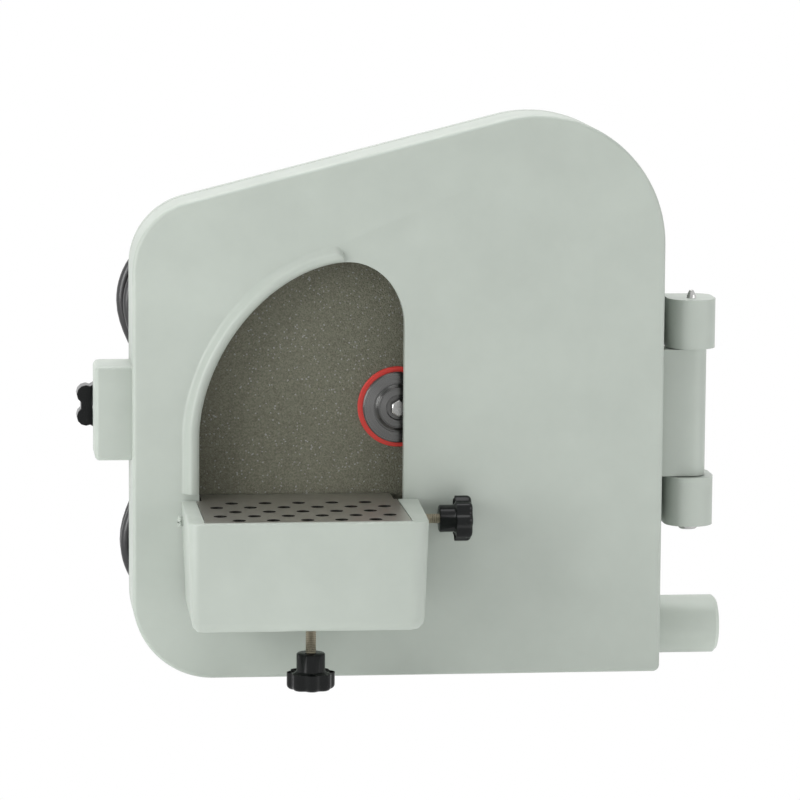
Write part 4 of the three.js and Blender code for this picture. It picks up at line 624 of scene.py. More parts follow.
def moulded(name, colour, roughness, grain, depth, coat=0.0, sheen=0.0, gloss=0.5):
    """Plastic, rubber or fibre with a fine skin."""
    constants = {"Coat Weight": coat, "Coat Roughness": 0.08, "Sheen Weight": sheen}
    constants["Specular IOR Level"] = gloss
    material, tree, shader = new_finish(name, constants)
    relief = use_effect(tree, relief_effect, Grain=grain, Depth=depth)
    tone = mixed(tree, relief["Patches"], colour, shade(colour, 1.25))
    rough = remapped(tree, relief["Patches"], 0, 1, roughness, roughness + 0.08)
    dress_shader(tree, shader, tone, rough, relief["Normal"])
    return material


def wound_copper(name, colour, roughness):
    """Varnished wire seen as fine strands."""
    material, tree, shader = new_finish(name, {"Metallic": 0.8, "Coat Weight": 0.5, "Coat Roughness": 0.2})
    lines = use_effect(tree, turned_effect, Rings=1400.0, Depth=0.0003, **DISC_AXIS)
    tone = mixed(tree, lines["Lines"], colour, shade(colour, 0.45))
    rough = remapped(tree, lines["Lines"], 0.3, 0.7, roughness, roughness + 0.2)
    dress_shader(tree, shader, tone, rough, lines["Normal"])
    return material


# For each finish: its maker and title, its colour, the share of that colour that is used, its roughness, and
# what else its maker is told. A colour or roughness in quotes is one of the choices.
RECIPES = {
    "enamel": (
        paint, "Enamel", "enamel", 1.0, "enamel_roughness",
        {"grain": 1100.0, "depth": 0.00006, "dust": 0.12},
    ),
    "cast_enamel": (
        paint, "Enamel on rough casting", "enamel", 1.0, 0.42,
        {"grain": 520.0, "depth": 0.00012, "dust": 0.3},
    ),
    # Painted light: the drain's enamel is a paler copy of the enamel, standing in for the light that its
    # spout catches.
    "drain": (
        paint, "Paler enamel of the drain", "enamel", 1.2, "enamel_roughness",
        {"grain": 1100.0, "depth": 0.00006, "dust": 0.12},
    ),
    "fibre": (moulded, "Red fibre", "fibre", 1.0, 0.5, {"grain": 1600.0, "depth": 0.00003}),
    # Painted shade: the flange's steel is darkened to a quarter, standing in for the dark surroundings that
    # it reflects.
    "flange": (turned_metal, "Turned flange", "steel", 0.25, 0.3, {"axis": DISC_AXIS, "anisotropic": 0.85}),
    "shaft": (turned_metal, "Ground shaft", "steel", 1.0, 0.22, {"axis": DISC_AXIS, "rings": 900.0}),
    "pin": (turned_metal, "Hinge pin steel", "steel", 0.8, 0.3, {"axis": PIN_AXIS}),
    "screw": (brushed_metal, "Plated screw", "steel", 1.0, 0.24, {"stretch": (900.0,) * 3}),
    "bolt": (brushed_metal, "Polished bolt", "steel", 0.6, 0.26, {"stretch": (300.0,) * 3}),
    "backing": (brushed_metal, "Cast backing", "steel", 0.85, 0.42, {"stretch": (500.0,) * 3}),
    # The sheet's holes are darkened on their upright faces as painted shade.
    "plate": (
        brushed_metal, "Brushed stainless", "plate", 1.0, 0.34,
        {"stretch": (30.0, 2600.0, 2600.0), "dust": 0.45, "walls": 0.08},
    ),
    "brass": (brushed_metal, "Brass", "brass", 1.0, 0.28, {"stretch": (1100.0,) * 3}),
    "core": (
        brushed_metal, "Laminated core", (0.24, 0.24, 0.25), 1.0, 0.45,
        {"stretch": (60.0, 4000.0, 60.0)},
    ),
    "terminal": (brushed_metal, "Cast aluminium", (0.3, 0.31, 0.31), 1.0, 0.55, {"stretch": (420.0,) * 3}),
    "copper": (wound_copper, "Varnished copper", (0.6, 0.26, 0.12), 1.0, 0.3, {}),
    "stud_across": (threaded_metal, "Threaded stud across", "stud", 1.0, 0.34, {"way": (1.0, 0.0, 0.0)}),
    "stud_upright": (threaded_metal, "Threaded stud upright", "stud", 0.8, 0.34, {"way": (0.0, 0.0, 1.0)}),
    "knob": (
        moulded, "Glossy moulded knob", "knob", 1.0, 0.15,
        {"grain": 300.0, "depth": 0.00002, "gloss": 0.2},
    ),
    "plastic": (moulded, "Satin moulded plastic", "plastic", 1.0, 0.38, {"grain": 1500.0, "depth": 0.00004}),
    "rubber": (moulded, "Rubber", "rubber", 1.0, 0.6, {"grain": 1800.0, "depth": 0.00005, "sheen": 0.1}),
    "cord": (moulded, "Cord sheath", "cord", 1.0, 0.3, {"grain": 900.0, "depth": 0.00002, "coat": 0.2}),
    "seal": (moulded, "Off-white seal", (0.55, 0.53, 0.48), 1.0, 0.6, {"grain": 1500.0, "depth": 0.00004}),
}

FINISHES = {}


def finish(name):
    """One of the machine's finishes, built the first time that a piece asks for it."""
    if name not in FINISHES:
        FINISHES[name] = build_finish(name, bpy.context.scene.trimmer_finish)
    return FINISHES[name]


def build_finish(name, chosen):
    """A new finish by its recipe, with the colours that were chosen."""
    if name == "grit":
        return grit_finish("Grit", chosen.grit_dark, chosen.grit_light)
    maker, title, *looks, others = RECIPES[name]
    colour, share, roughness = (getattr(chosen, look) if isinstance(look, str) else look for look in looks)
    return maker(title, shade(colour, share), roughness, **others)


# Sizes and choices


def length(name, description, default):
    """A length property whose default is given in millimetres."""
    return bpy.props.FloatProperty(
        name=name, description=description, default=default * MM,
        unit="LENGTH", subtype="DISTANCE", precision=5,
    )


def angle(name, description, default):
    """An angle property whose default is given in degrees."""
    return bpy.props.FloatProperty(
        name=name, description=description, default=math.radians(default),
        unit="ROTATION", subtype="ANGLE",
    )


def ratio(name, description, default):
    """A plain number property."""
    return bpy.props.FloatProperty(name=name, description=description, default=default, min=0.0, max=10.0)


def power(name, description, default):
    """A lamp's power in watts."""
    return bpy.props.FloatProperty(name=name, description=description, default=default, unit="POWER")


def colour(name, description, default):
    """A colour property."""
    return bpy.props.FloatVectorProperty(
        name=name, description=description, default=default,
        size=3, subtype="COLOR", min=0.0, max=1.0,
    )


class Millimetres:
    """Reads the lengths of a property group in millimetres, and its other values as they are."""

    def __init__(self, group):
        self.group = group

    def __getattr__(self, name):
        value = getattr(self.group, name)
        return value / MM if self.group.bl_rna.properties[name].unit == "LENGTH" else value


class DoorSizes(bpy.types.PropertyGroup):
    opening_left: length("Opening left", "From the disc axis to the opening's left side", 107.0)
    opening_right: length("Opening right", "From the disc axis to the opening's right side", 1.3)
    opening_bottom: length("Opening bottom", "Height of the opening's lower side", 83.0)
    opening_peak: length("Opening peak", "Height of the opening's highest point", 221.5)
    opening_shoulder: length("Opening shoulder", "Height where the curved side starts", 130.0)
    nose_width: length("Nose width", "Width of the rounded corner at the top right", 30.0)
    nose_height: length("Nose height", "Height of the rounded corner at the top right", 34.0)
    sweep_power: ratio("Sweep power", "Fullness of the curved side", 1.11)
    bead_width: length("Bead width", "Twice the width of the bead's steep side", 8.4)
    bead_height: length("Bead height", "How far the bead stands out of the door", 4.8)
    bead_end: length("Bead end", "Height where the bead ends at the left", 99.4)
    bead_start: length("Bead start", "Where the bead begins, from the disc axis", -29.0)
    bead_nose: length("Bead nose", "Length of the blunt nose at the bead's top", 4.2)
    bead_ease: ratio("Bead ease", "Width of the bead's eased side against its steep side", 1.25)
    edge: length("Edge", "Rounding of the door's front edge", 2.2)
    lug_reach: length("Lug reach", "How far the lug stands out at the left", 19.4)
    lug_height: length("Lug height", "Height of the lug", 50.0)
    lug_depth: length("Lug depth", "Depth of the lug", 27.0)
    lug_corner: length("Lug corner", "Rounding of the lug's outer corners", 2.6)
    lug_edge: length("Lug edge", "Rounding of the lug's front edge", 2.4)
    barrel: length("Barrel", "Radius of the door's hinge barrel", 8.6)


class PlateSizes(bpy.types.PropertyGroup):
    edge: length("Edge", "Rounding of the back plate's rear edge", 1.2)
    ear_height: length("Ear height", "Height of the ear behind the door's lug", 49.0)
    ear_reach: length("Ear reach", "How far the ear stands out at the left", 19.0)
    barrel: length("Barrel", "Radius of the end barrels", 13.0)
    barrel_length: length("Barrel length", "Length of an end barrel", 26.4)
    pin: length("Pin", "Radius of the hinge pin", 2.5)
    pin_tip: length("Pin tip", "How far the pin's tip stands out", 4.4)


class TableSizes(bpy.types.PropertyGroup):
    left: length("Left", "From the disc axis to the sheet's left side", 108.6)
    right: length("Right", "From the sheet's right side to the disc axis", 2.4)
    hole: length("Hole", "Radius of a drain hole", 3.5)
    pitch: length("Pitch", "Distance between holes in a row", 17.6)
    row_pitch: length("Row pitch", "Distance between rows", 13.6)
    thickness: length("Thickness", "Thickness of the sheet", 2.0)
    screw_radius: length("Screw radius", "Radius of the pivot screw's head", 3.3)
    screw_head: length("Screw head", "Height of the pivot screw's head", 1.7)


class KnobSizes(bpy.types.PropertyGroup):
    side_radius: length("Side radius", "Radius of the clamp knob's head", 12.1)
    side_head: length("Side head", "Thickness of the clamp knob's head", 8.6)
    side_hub: length("Side hub", "Length of the clamp knob's hub", 8.4)
    side_hub_radius: length("Side hub radius", "Radius of the clamp knob's hub", 7.2)
    stop_radius: length("Stop radius", "Radius of the stop knob's head", 12.6)
    stop_head: length("Stop head", "Thickness of the stop knob's head", 8.9)
    stop_hub: length("Stop hub", "Length of the stop knob's hub", 10.1)
    stop_hub_radius: length("Stop hub radius", "Radius of the stop knob's hub", 7.5)
    flute: length("Flute", "Depth of a flute", 1.6)
    flutes: bpy.props.IntProperty(
        name="Flutes", description="Number of flutes round a knob", default=8, min=3
    )


class DiscSizes(bpy.types.PropertyGroup):
    radius: length("Radius", "Radius of the disc", 127.0)
    bore: length("Bore", "Radius of the hole in the grit face", 9.3)
    backing_bore: length("Backing bore", "Radius of the hole in the backing", 9.06)
    washer: length("Washer", "Radius of the fibre washer", 21.5)
    flange: length("Flange", "Radius of the clamp flange", 18.9)
    bolt_hole: length("Bolt hole", "Radius of the hole for the bolt", 3.3)


class CordSizes(bpy.types.PropertyGroup):
    diameter: length("Diameter", "Diameter of the mains cord", 7.0)


class FinishChoices(bpy.types.PropertyGroup):
    enamel: colour("Enamel", "Colour of the enamel", (0.373, 0.411, 0.371))
    enamel_roughness: ratio("Enamel roughness", "Roughness of the enamel", 0.44)
    grit_dark: colour("Grit, dark", "Colour of the darkest grains", (0.062, 0.063, 0.039))
    grit_light: colour("Grit, light", "Colour of the palest grains", (0.165, 0.165, 0.122))
    fibre: colour("Fibre", "Colour of the fibre washer", (0.48, 0.03, 0.022))
    steel: colour("Steel", "Colour of bright steel", (0.6, 0.6, 0.59))
    stud: colour("Stud", "Colour of the threaded studs", (0.74, 0.65, 0.5))
    plate: colour("Sheet", "Colour of the perforated sheet", (0.6, 0.58, 0.54))
    brass: colour("Brass", "Colour of plain brass", (0.62, 0.47, 0.2))
    knob: colour("Knob", "Colour of the glossy knobs", (0.0035, 0.0042, 0.0042))
    plastic: colour("Plastic", "Colour of the satin plastic", (0.02, 0.021, 0.024))
    rubber: colour("Rubber", "Colour of rubber", (0.022, 0.022, 0.022))
    cord: colour("Cord", "Colour of the cord's sheath", (0.013, 0.013, 0.014))


class StageChoices(bpy.types.PropertyGroup):
    lens: bpy.props.FloatProperty(
        name="Lens", description="Focal length of the camera", default=198.0, unit="CAMERA"
    )
    yaw: angle("Yaw", "How far the camera looks to the right", 6.35)
    pitch: angle("Pitch", "How far the camera looks down", 8.0)
    roll: angle("Roll", "How far the camera is turned anticlockwise about its own line of sight", 0.4)
    distance: length("Distance", "From the camera to the point it looks at", 2322.0)
    aim_x: length("Aim across", "The point looked at, right of the disc axis", -1.0)
    aim_y: length("Aim back", "The point looked at, behind the back plate's front", -36.0)
    aim_z: length("Aim height", "The point looked at, above the door's lower edge", 148.2)
    key_power: power("Key lamp", "Power of the large lamp at the left", 15.6)
    fill_power: power("Fill lamp", "Power of the lamp at the right", 19.4)
    top_power: power("Top lamp", "Power of the lamp above", 51.0)
    room: ratio("Room light", "Strength of the light from the room", 0.34)


def sizes_of(context, name):
    """The sizes or choices of one group of the scene, lengths in millimetres."""
    return Millimetres(getattr(context.scene, name))


# Forms of the cover and the plate

# The steps of the corners of the housing and of a lug's outline.
DOOR_STEPS = (24, 8, 32, 24)
LUG_STEPS = (8, 2, 2, 8)


def door_ring(inset=0.0):
    """The housing's outline seen from the front."""
    rise = math.tan(DOOR_SLOPE) * (DOOR_LEFT + DOOR_RIGHT)
    corners = [
        (-DOOR_LEFT, 0.0),
        (DOOR_RIGHT, 0.0),
        (DOOR_RIGHT, DOOR_LEFT_HEIGHT + rise),
        (-DOOR_LEFT, DOOR_LEFT_HEIGHT),
    ]
    return rounded_outline(corners, DOOR_RADII, DOOR_STEPS, inset)


def window_ring(door):
    """The opening's outline seen from the front, anticlockwise from its lower left corner."""
    left = -door.opening_left
    nose_x = door.opening_right - door.nose_width
    climb = door.opening_peak - door.opening_shoulder
    ring = [(left, door.opening_bottom), (door.opening_right, door.opening_bottom)]
    for k in range(25):
        turn = QUARTER * k / 24
        fall = door.nose_height * (1 - math.sin(turn))
        ring.append((nose_x + door.nose_width * math.cos(turn), door.opening_peak - fall))
    for k in range(1, 49):
        turn = QUARTER * k / 48
        across = math.sin(turn) ** door.sweep_power
        rise = max(math.cos(turn), 0.0) ** door.sweep_power
        ring.append((nose_x - (nose_x - left) * across, door.opening_shoulder + climb * rise))
    return ring


def bead_profile(door):
    """The bead across its length: distance out from the opening and height, steep and then eased."""
    crest = door.bead_width / 2
    profile = []
    for k in range(7):
        turn = QUARTER * k / 6
        profile.append((crest * (1 - math.cos(turn)), door.bead_height * math.sin(turn)))
    for k in range(1, 9):
        share = k / 8
        height = door.bead_height * (0.5 + 0.5 * math.cos(math.pi * share))
        profile.append((crest * (1 + door.bead_ease * share), height))
    return profile


def bead_form(door):
    """The raised bead along the curved side of the opening: blunt at its top, eased into the door outside."""
    nose_steps, step, tangent_reach, least_growth = 8, 3.0, 0.6, 0.2
    edge = [Vector(point) for point in window_ring(door)]
    first = next(i for i, point in enumerate(edge) if i > 1 and point.x < door.bead_start)
    line = edge[first:] + [Vector((-door.opening_left, door.bead_end))]
    whole = path_length(line)
    nose = door.bead_nose
    places = []
    for k in range(nose_steps + 1):
        turn = QUARTER * k / nose_steps
        places.append((nose * (1 - math.cos(turn)), max(math.sin(turn), least_growth)))
    steps = round((whole - nose) / step)
    places += [(nose + (whole - nose) * k / steps, 1.0) for k in range(1, steps + 1)]
    profile = bead_profile(door)
    rings = []
    for distance, grow in places:
        point = along_path(line, distance)
        before = along_path(line, max(distance - tangent_reach, 0.0))
        way = along_path(line, distance + tangent_reach) - before
        out = Vector((way.y, -way.x)).normalized() * grow
        ring = [(point.x + out.x * a, DOOR_FACE - b * grow, point.y + out.y * a) for a, b in profile]
        ring += [(x, DOOR_FACE + PAST, z) for x, _, z in (ring[-1], ring[0])]
        rings.append(ring)
    return loft("bead", rings)


def lug_outline(reach, height, radius, inset=0.0):
    """The outline of the lug, or of the ear behind it, seen from the front."""
    left, right = -DOOR_LEFT - reach, -DOOR_LEFT + 4
    low, high = LUG_MIDDLE - height / 2, LUG_MIDDLE + height / 2
    corners = [(left, low), (right, low), (right, high), (left, high)]
    return rounded_outline(corners, (radius, SHARP, SHARP, radius), LUG_STEPS, inset)


def lug_form(door):
    """The thick lug at the left that the latch screw draws in."""
    outline = (door.lug_reach, door.lug_height, door.lug_corner)
    rings = [facing(lug_outline(*outline), DOOR_BACK)]
    for inset, down in quarter(door.lug_edge, 5):
        rings.append(facing(lug_outline(*outline, inset), DOOR_BACK - door.lug_depth + down))
    return loft("lug", rings)


def build_door(door, material):
    """The cast cover: a pan with its opening, bead, lug and hinge barrel."""
    floor = DOOR_FACE + DOOR_WALL
    rings = [facing(door_ring(), DOOR_BACK)]
    rings += [facing(door_ring(inset), DOOR_FACE + down) for inset, down in quarter(door.edge, 6)]
    cover = loft("door_cover_look", rings, material)
    half = DOOR_BARREL / 2
    hinge = (HINGE_X, HINGE_Y, HINGE_MIDDLE)
    web_low = (DOOR_RIGHT - 5, HINGE_Y - door.barrel, HINGE_MIDDLE - half)
    web_high = (HINGE_X, HINGE_Y + door.barrel, HINGE_MIDDLE + half)
    barrel = rod_form("barrel", door.barrel, hinge, (-half, half), "Z")
    joined_with(cover, lug_form(door), barrel, box_form("web", web_low, web_high))
    inside = door_ring(DOOR_WALL)
    cut_by(cover, loft("hollow", [facing(inside, 2 * PAST), facing(inside, floor)]))
    joined_with(cover, bead_form(door))
    window = window_ring(door)
    drain_left, drain_right, drain_bottom = -95.0, -15.0, 46.0
    drain_low = (drain_left, DOOR_FACE - 2 * PAST, drain_bottom)
    drain_high = (drain_right, floor + 2 * PAST, door.opening_bottom + PAST)
    cut_by(
        cover,
        loft("window", [facing(window, floor + 2 * PAST), facing(window, DOOR_FACE - 6 * PAST)]),
        box_form("drain", drain_low, drain_high),
        rod_form("lug_hole", LATCH_HOLE, (LATCH_X, 0.0, LATCH_Z), (-15.0, PAST), "Y"),
        rod_form("pin_hole", PIN_HOLE, hinge, (-half - PAST, half + PAST), "Z"),
    )
    return smoothed(without_slivers(cover), 32)


def build_plate(plate, material):
    """The back plate with its ear, end barrels and passages."""
    rings = [facing(door_ring(), 0.0)]
    rings += [facing(door_ring(inset), PLATE_BACK - down) for inset, down in quarter(plate.edge, 3)]
    slab = loft("back_plate_look", rings, material)
    ear = lug_outline(plate.ear_reach, plate.ear_height, 3.0)
    joined_with(slab, loft("ear", [facing(ear, 0.0), facing(ear, PLATE_BACK)]))
    for low in barrel_places(plate):
        joined_with(slab, barrel_form(plate, low))
    front, back = through = (-PAST, PLATE_BACK + PAST)
    mouth_left, mouth_right, mouth_low, mouth_high = 84.0, 131.0, 5.5, 50.0
    cut_by(
        slab,
        rod_form("ear_hole", LATCH_HOLE, (LATCH_X, 0, LATCH_Z), through, "Y"),
        rod_form("pin_holes", PIN_HOLE, (HINGE_X, HINGE_Y, HINGE_MIDDLE), (-80, 80), "Z"),
        rod_form("bell_hole", BELL_HOLE, (0, 0, AXIS_Z), through, "Y"),
        box_form("drain_mouth", (mouth_left, front, mouth_low), (mouth_right, back, mouth_high)),
        rod_form("valve_hole", VALVE_HOLE, (VALVE_X, 0, VALVE_Z), through, "Y"),
    )
    return smoothed(slab, 32)


def barrel_places(plate):
    """Heights of the lower ends of the upper and the lower end barrel."""
    reach = DOOR_BARREL / 2 + HINGE_GAP
    return (HINGE_MIDDLE + reach, HINGE_MIDDLE - reach - plate.barrel_length)


def barrel_form(plate, low):
    """An end barrel with the arm that carries it, one outline drawn upwards."""
    radius = plate.barrel
    ring = []
    for k in range(33):
        turn = math.pi + math.pi * k / 32
        ring.append((HINGE_X + radius * math.cos(turn), HINGE_Y + radius * math.sin(turn)))
    arm = HINGE_X + radius - PLATE_BACK
    for k in range(13):
        turn = QUARTER * k / 12
        ring.append((arm + PLATE_BACK * math.cos(turn), PLATE_BACK * math.sin(turn)))
    root = DOOR_RIGHT - 4
    ring += [(root, PLATE_BACK), (root, 0.0), (HINGE_X - radius, 0.0)]
    return loft("barrel", [[(x, y, z) for x, y in ring] for z in (low, low + plate.barrel_length)])


def build_pin(plate, material):
    """The hinge pin with a flat head below and a pointed tip above."""
    upper, lower = barrel_places(plate)
    low, high = lower - 0.3, upper + plate.barrel_length
    radius, tip = plate.pin, high + plate.pin_tip
    profile = [
        (0, low - 2.4), (2 * radius - 0.6, low - 2.4), (2 * radius, low - 1.8), (2 * radius, low),
        (radius, low), (radius, high + 1.2), (radius * 0.8, high + 2.4), (radius * 0.45, tip - 0.3),
        (radius * 0.2, tip), (0, tip),
    ]
    return lathe("hinge_pin_look", profile, (HINGE_X, HINGE_Y, 0), "Z", material, 40)


# Forms of the disc and its hub


def build_disc(disc, face_finish, backing_finish):
    """The grit face and the backing that it is bonded to."""
    back, boss_back, boss = -6.0, -4.0, 19.5
    centre = (0.0, 0.0, AXIS_Z)
    rim = disc.radius
    face = [
        (disc.bore, DISC_SEAT), (disc.bore, DISC_FRONT), (rim - 0.8, DISC_FRONT), (rim, DISC_FRONT + 0.7),
        (rim, DISC_SEAT), (disc.bore, DISC_SEAT),
    ]
    bore = disc.backing_bore
    backing = [
        (bore, DISC_SEAT), (rim, DISC_SEAT), (rim, back - 0.8), (rim - 0.8, back), (boss, back),
        (boss, boss_back), (bore, boss_back), (bore, DISC_SEAT),
    ]
    return (
        lathe("grinding_disc_look", face, centre, "Y", face_finish, 180),
        lathe("disc_backing_look", backing, centre, "Y", backing_finish, 180),
    )


def build_hub(disc, washer_finish, flange_finish):
    """The fibre washer, and the stepped flange with a groove at the foot of its boss."""
    step, groove, crown, seat = -20.8, -20.1, -22.6, -20.6
    centre = (0.0, 0.0, AXIS_Z)
    hole, rim, back = disc.bolt_hole, disc.washer, WASHER_FRONT
    washer = [
        (hole, DISC_FRONT), (hole, back), (rim - 0.4, back), (rim, back + 0.4), (rim, DISC_FRONT),
        (hole, DISC_FRONT),
    ]
    rim = disc.flange
    flange = [
        (hole, back), (rim - 0.2, back), (rim, back - 0.2), (rim, step + 0.6), (rim - 0.6, step),
        (13.3, step), (13.1, groove), (12.5, groove), (12.4, step),
        (10.8, crown + 0.2), (10.7, crown), (10.4, crown),
        (10.2, crown + 0.5), (6.8, crown + 0.5), (6.5, crown + 0.7), (6.3, seat), (hole, seat), (hole, back),
    ]
    return (
        lathe("fibre_washer_look", washer, centre, "Y", washer_finish, 96),
        lathe("clamp_flange_look", flange, centre, "Y", flange_finish, 96, 20),
    )


# Forms of the table and the knobs


def build_sheet(table, material):
    """The perforated sheet: a wide part in the tray, a neck through the opening, and round holes."""
    front, back, neck_back, top = -109.6, -37.5, -17.5, 95.6
    neck_left, neck_right = -105.8, -4.15
    left, right = -table.left, -table.right
    first_row = front + 8.5
    corners = [
        (left, front), (right, front), (right, back), (neck_right, back), (neck_right, neck_back),
        (neck_left, neck_back), (neck_left, back), (left, back),
    ]
    outline = rounded_outline(corners, (2.5, 2.5, 0.4, 0.4, 1.0, 1.0, 0.4, 0.4), (6,) * 8)
    levels = (top - table.thickness, top)
    sheet = loft("perforated_plate_look", [[(x, y, z) for x, y in outline] for z in levels], material)
    middle = (left + right) / 2
    drills = []
    for row, count in enumerate((5, 6, 5, 6, 5)):
        for column in range(count):
            x = middle + (column - (count - 1) / 2) * table.pitch
            centre = (x, first_row + row * table.row_pitch, top)
            drills.append(rod_form("drill", table.hole, centre, (-3 * PAST, 2 * PAST), "Z", 32))
    return smoothed(cut_by(sheet, *drills))


def build_pivot(table, material):
    """The pivot screw at the table's left: a domed head with a straight slot, and its stem."""
    slot, stem, straight = 1.1, 2.5, 0.35
    x, y, z = PIVOT_START
    radius, head = table.screw_radius, table.screw_head
    profile = [(0.0, 0.0), (radius, 0.0), (radius, -head * straight)]
    for k in range(1, 8):
        turn = QUARTER * k / 8
        profile.append((radius * math.cos(turn), -head * (straight + (1 - straight) * math.sin(turn))))
    screw = lathe("pivot_screw_look", profile + [(0.0, -head)], PIVOT_START, "X", material, 40)
    slot_low = (x - head - PAST, y - 9, z - slot / 2)
    slot_high = (x - head + slot, y + 9, z + slot / 2)
    cut_by(screw, box_form("slot", slot_low, slot_high))
    joined_with(screw, rod_form("stem", stem, PIVOT_START, (-0.5, 11.9), "X", 32))
    return smoothed(screw)


def build_knob(knob, prefix, name, start, axis, sign):
    """A fluted knob: hub, deep round flutes, softened edges and a shallow dished end."""
    parts = ("radius", "head", "hub", "hub_radius")
    radius, head, hub, hub_radius = (getattr(knob, f"{prefix}_{part}") for part in parts)
    count = knob.flutes * 18
    soft = head * 0.28

    def ring(reach, along, flute=0.0):
        """A round or fluted ring at a distance from the knob's start."""
        points = []
        for k in range(count):
            turn = 2 * math.pi * k / count
            out = reach - flute * (0.5 - 0.5 * math.cos(knob.flutes * turn)) ** 1.4
            points.append(turned_point(start, axis, out * math.cos(turn), out * math.sin(turn), sign * along))
        return points

    def fluted(inset, along):
        """A fluted ring of the head, its flutes shallower further in."""
        return ring(radius - inset, along, knob.flute * (1 - inset / radius))

    rings = [ring(hub_radius - 0.5, 0.0), ring(hub_radius, 0.5)]
    rings += [ring(hub_radius, hub - 0.8), ring(hub_radius + 0.8, hub)]
    rings += [fluted(inset, hub + soft * 0.5 - down) for inset, down in reversed(quarter(soft * 0.5, 3))]
    rings += [fluted(inset, hub + head - down) for inset, down in quarter(soft, 6)]
    rings += [fluted(soft * 1.8, hub + head), ring(radius * 0.42, hub + head - 0.5)]
    return loft(name, rings, finish("knob"), 50)


# Forms of the mains cord, in millimetres

# The stretch from the gland to the hank, and the stretch from the hank down to the plug.
LEAD_STOPS = (
    (-32, 174, 235), (-32, 181, 235), (-36, 190, 231), (-41, 198, 221),
    (-48, 202, 208), (-54, 202.2, 191), (-56.2, 202.2, 181.86), (-56.2, 202.2, 172.86),
)
TAIL_STOPS = (
    (-56.2, 210.2, 172.86), (-56.2, 210.2, 163.86), (-55, 211, 142), (-53, 213, 108), (-52, 214, 72),
    (-52, 214, 46), (-48, 214, 24), (-38, 214, 8), (-22, 214, -1), (-8, 214, 0.8), (2.2, 214, 0.8),
)

# The hank: how many loops it has, its middle, its half height between the bends, how far back it steps
# in its middle, its points, its half widths at the bends and at the tie, and how much less an inner loop has.
HANK_LOOPS = 3.0
HANK_X = -97.2
HANK_Y = 202.2
HANK_Z = 102.86
HANK_HALF = 70.0
HANK_LAYER = 8.0
HANK_STEPS = 360
HANK_REACH = 41.0
HANK_WAIST = 16.7
HANK_NESTING = 8.3


def hank_point(share):
    """A point of the long loops that the spare cord is folded into, for a share of their length.

    Half a loop takes 12 parts: 5 for the straight side, drawn in at the tie, and 7 for the bend.
    """
    loops = HANK_LOOPS * share
    nested = HANK_NESTING * min(loops, HANK_LOOPS - loops)
    reach, waist = HANK_REACH - nested, HANK_WAIST - nested
    part = (loops % 1.0) * 24.0
    side = 1.0 if part < 12.0 else -1.0
    part %= 12.0
    if part <= 5.0:
        along = 1.0 - 2.0 * part / 5.0
        widening = along * along * (3.0 - 2.0 * abs(along))
        x = HANK_X + side * (waist + (reach - waist) * widening)
        z = HANK_Z + side * HANK_HALF * along
    else:
        turn = math.pi * (part - 5.0) / 7.0
        x = HANK_X + side * reach * math.cos(turn)
        z = HANK_Z - side * (HANK_HALF + reach * math.sin(turn))
    rise = min(max((loops * 24.0 - 36.0) / 5.0, 0.0), 1.0)
    return (x, HANK_Y + HANK_LAYER * rise, z)


def cord_points():
    """The cord's whole way from the strain relief to the plug."""
    hank = [Vector(hank_point(step / HANK_STEPS)) for step in range(1, HANK_STEPS)]
    return smooth_path(LEAD_STOPS, 50) + hank + smooth_path(TAIL_STOPS, 80)


def tube_curve(name, points, diameter, material):
    """A round cord along points."""
    curve = bpy.data.curves.new(name, "CURVE")
    curve.dimensions = "3D"
    curve.bevel_depth = diameter / 2 * MM
    curve.bevel_resolution = 6
    curve.use_fill_caps = True
    spline = curve.splines.new("POLY")
    spline.points.add(len(points) - 1)
    for target, point in zip(spline.points, points):
        target.co = (*place(*point), 1.0)
    spline.use_smooth = True
    curve.materials.append(material)
    obj = bpy.data.objects.new(name, curve)
    bpy.context.scene.collection.objects.link(obj)
    return obj


# Operators, one for each group of pieces


class PieceOperator:
    """Builds its own pieces first, then gives each listed solid a dressed copy.

    A row of solids is a node's name, its finish, and the width, segments and angle of its bevel.
    """

    solids = ()

    def build(self, context):
        """Build the pieces that are drawn anew."""

    def execute(self, context):
        self.build(context)
        for node, finish_name, *edge in self.solids:
            settle(dressed(node, finish(finish_name), *edge), node)
        return {"FINISHED"}


class TRIMMER_OT_door(PieceOperator, bpy.types.Operator):
    """Build the cast cover with its opening, bead, lug and barrel"""

    bl_idname = "trimmer.door"
    bl_label = "Door"
    solids = (("door_gasket", "seal", 0.4),)

    def build(self, context):
        settle(build_door(sizes_of(context, "trimmer_door"), finish("enamel")), "door_cover")


class TRIMMER_OT_plate(PieceOperator, bpy.types.Operator):
    """Build the back plate with its ear and end barrels, and the hinge pin"""

    bl_idname = "trimmer.plate"
    bl_label = "Back plate and hinge pin"

    def build(self, context):
        plate = sizes_of(context, "trimmer_plate")
        settle(build_plate(plate, finish("enamel")), "back_plate")
        settle(build_pin(plate, finish("pin")), "hinge_pin")


class TRIMMER_OT_disc(PieceOperator, bpy.types.Operator):
    """Build the grit face and its backing"""

    bl_idname = "trimmer.disc"
    bl_label = "Disc"

    def build(self, context):
        face, backing = build_disc(sizes_of(context, "trimmer_disc"), finish("grit"), finish("backing"))
        settle(face, "grinding_disc")
        settle(backing, "disc_backing")


class TRIMMER_OT_hub(PieceOperator, bpy.types.Operator):
    """Build the fibre washer, the stepped flange and its bolt"""

    bl_idname = "trimmer.hub"
    bl_label = "Hub"
    solids = (("wheel_bolt", "bolt", 0.5, 3, 30),)

    def build(self, context):
        washer, flange = build_hub(sizes_of(context, "trimmer_disc"), finish("fibre"), finish("flange"))
        settle(washer, "fibre_washer")
        settle(flange, "clamp_flange")


